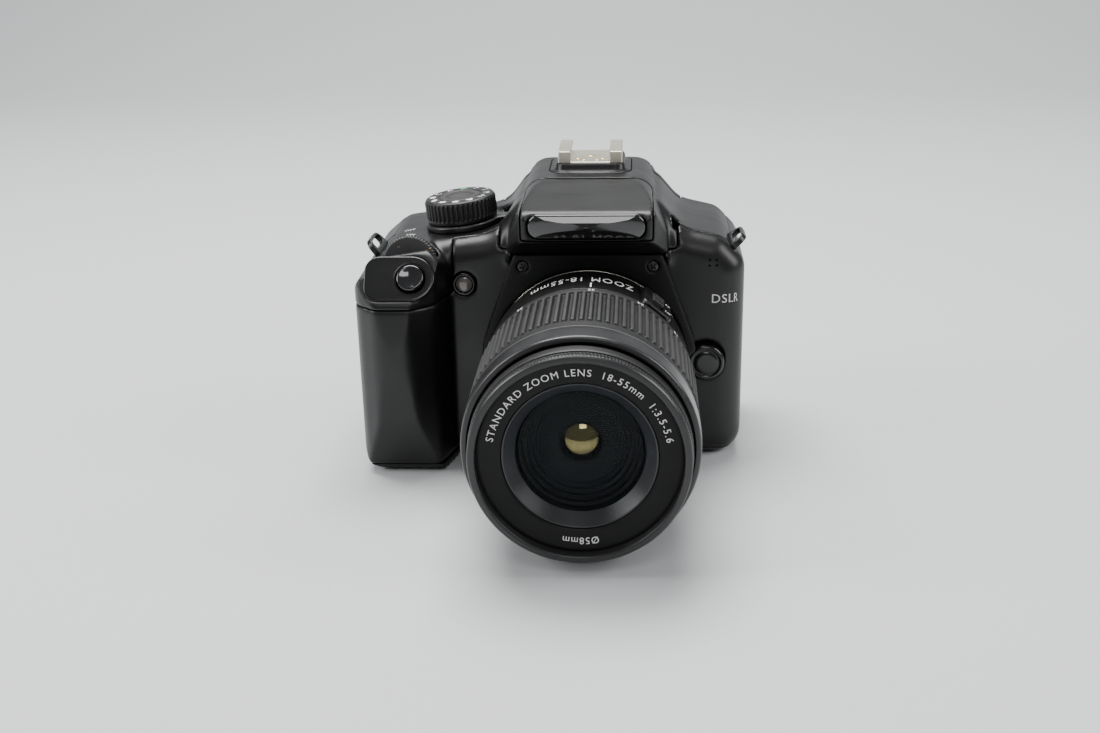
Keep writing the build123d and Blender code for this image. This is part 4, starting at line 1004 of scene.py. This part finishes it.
lens_surface("front_glass", 18.4, 70.9, 72.4, coated_glass("front_coating", (0.75, 0.85, 1.0), 1.1))
lens_surface("second_glass", 15.2, 67.5, 66.4, coated_glass("violet_coating", (0.7, 0.7, 1.0),
                                                            1.1), 0.6)
lens_surface("third_glass", 6.1, 64.45, 66.9, coated_glass("amber_coating", (1.0, 0.75, 0.34), 3.2),
             0.1)
capped("iris_disc", [(0, 64.0), (12.9, 64.0), (12.9, 64.15), (6.3, 64.3), (6.2, 64.1), (0, 64.1)],
       lens_seat, deep_black, "front_cell", "glass")

# --- back of the body ---------------------------------------------------------------
# A bonded screen window, the rubber eyecup round the eyepiece, and plastic push keys
# with printed signs beside them.
screen_gloss = moulded("screen_gloss", (0.012, 0.013, 0.017), 0.06, pitch=2.0, depth=0.0008,
                       specular=0.6, dusty=0.3, coat=0.5)
crisp_copy("lcd_window", 0.25, screen_gloss)
screen_low, screen_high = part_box("lcd_window")
screen_x, screen_z = (screen_low.x + screen_high.x) / 2, (screen_low.z + screen_high.z) / 2
display_grey = moulded("display_grey", (0.03, 0.034, 0.038), 0.09, pitch=0.6, depth=0.001,
                       dusty=0.2, coat=0.5)
plate("display_area", [(55.2, 41.4, 0.6, 0.0), (55.0, 41.2, 0.6, 0.03)],
      (screen_x, screen_high.y, screen_z), (-1, 0, 0), (0, 1, 0), display_grey, "body",
      "electronics")
cup_rubber = moulded("cup_rubber", (0.014, 0.014, 0.0145), 0.62, pitch=0.4, depth=0.03, dusty=0.6)
softened("eyecup", 0.35, 10, cup_rubber)
key_black = moulded("key_black", (0.013, 0.013, 0.0135), 0.33, pitch=0.2, depth=0.006)
back_keys = [name for name in body_of if name.endswith("_button") and body_of[name] == name
             and name not in ("shutter_button", "release_button", "flash_button")]
for name in back_keys:
    crisp_copy(name, 0.35, key_black)
crisp_copy("dioptre_knob", 0.25, key_black)
eye_glass = coated_glass("eye_coating", (0.7, 0.75, 0.95), 1.5)
finished("eyepiece_lens", eye_glass)
sky_print = moulded("blue_print", (0.12, 0.3, 0.6), 0.5, pitch=0.15, depth=0.004, dusty=0.0)
signs = {"menu_button": ("MENU", 5.0), "live_view_button": (0, 4.6),
         "exposure_button": ("+/-", 4.4), "play_button": (3, 4.6), "erase_button": (4, 4.6),
         "ae_lock_button": ("*", 4.2), "set_button": ("SET", 0), "pad_up_button": ("ISO", 0),
         "pad_down_button": (5, 0), "pad_left_button": ("AF", 0), "pad_right_button": ("WB", 0)}
for name, (sign, above) in signs.items():
    low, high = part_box(name)
    mesh = lettered(sign, 2.0) if isinstance(sign, str) else emblem(sign, 0.25, 0.8)
    on_key = above == 0
    deep = high.y + 0.03 * mm if on_key else 32.1 * mm
    spot = ((low.x + high.x) / 2, deep, (low.z + high.z) / 2 + above * mm)
    printed(f"sign_{name}", mesh, on_plane(spot, (-1, 0, 0), (0, 1, 0)),
            sky_print if name in ("play_button", "erase_button") else white_print,
            body_of[name] if on_key else "body", None if on_key else nodes["rear_cover"])

# --- doors, lugs and tripod socket ----------------------------------------------------
# A soft rubber flap covers the sockets on the side and a hinged plastic door the battery.
# The strap lugs are black painted steel loops, and the socket is a brass insert.
crisp_copy("terminal_cover", 0.4, cup_rubber)
crisp_copy("battery_door", 0.3, cover_black)
lug_black = moulded("lug_black", (0.02, 0.02, 0.021), 0.3, pitch=0.8, depth=0.01, metallic=0.5)
crisp_copy("strap_lugs", 0.5, lug_black)
crisp_copy("tripod_socket", 0.3, worn_steel)

# --- mirror, finder, shutter and circuits -------------------------------------------
# Inside parts: a matt mirror box with its silvered mirrors, the prism block, the focal
# plane shutter, the sensor behind it, and the boards and battery.
silvered = moulded("silvered_glass", (0.86, 0.87, 0.88), 0.04, pitch=2.0, depth=0.0005,
                   metallic=1.0, dusty=0.05)
board_green = moulded("board_green", (0.02, 0.09, 0.045), 0.45, pitch=0.6, depth=0.02)
sensor_blue = moulded("sensor_blue", (0.06, 0.09, 0.12), 0.1, pitch=0.3, depth=0.002, coat=0.6)
inside = {"mirror_box": deep_black, "shutter_unit": deep_black, "shutter_curtain": satin_black,
          "pentaprism": satin_black, "battery": cover_black, "focusing_screen": frosted,
          "reflex_mirror": silvered, "sub_mirror": silvered, "image_sensor": sensor_blue,
          "main_board": board_green, "lcd_panel": board_green, "lock_pin": worn_steel,
          "rear_element": eye_glass}
for name, finish in inside.items():
    finished(name, finish)
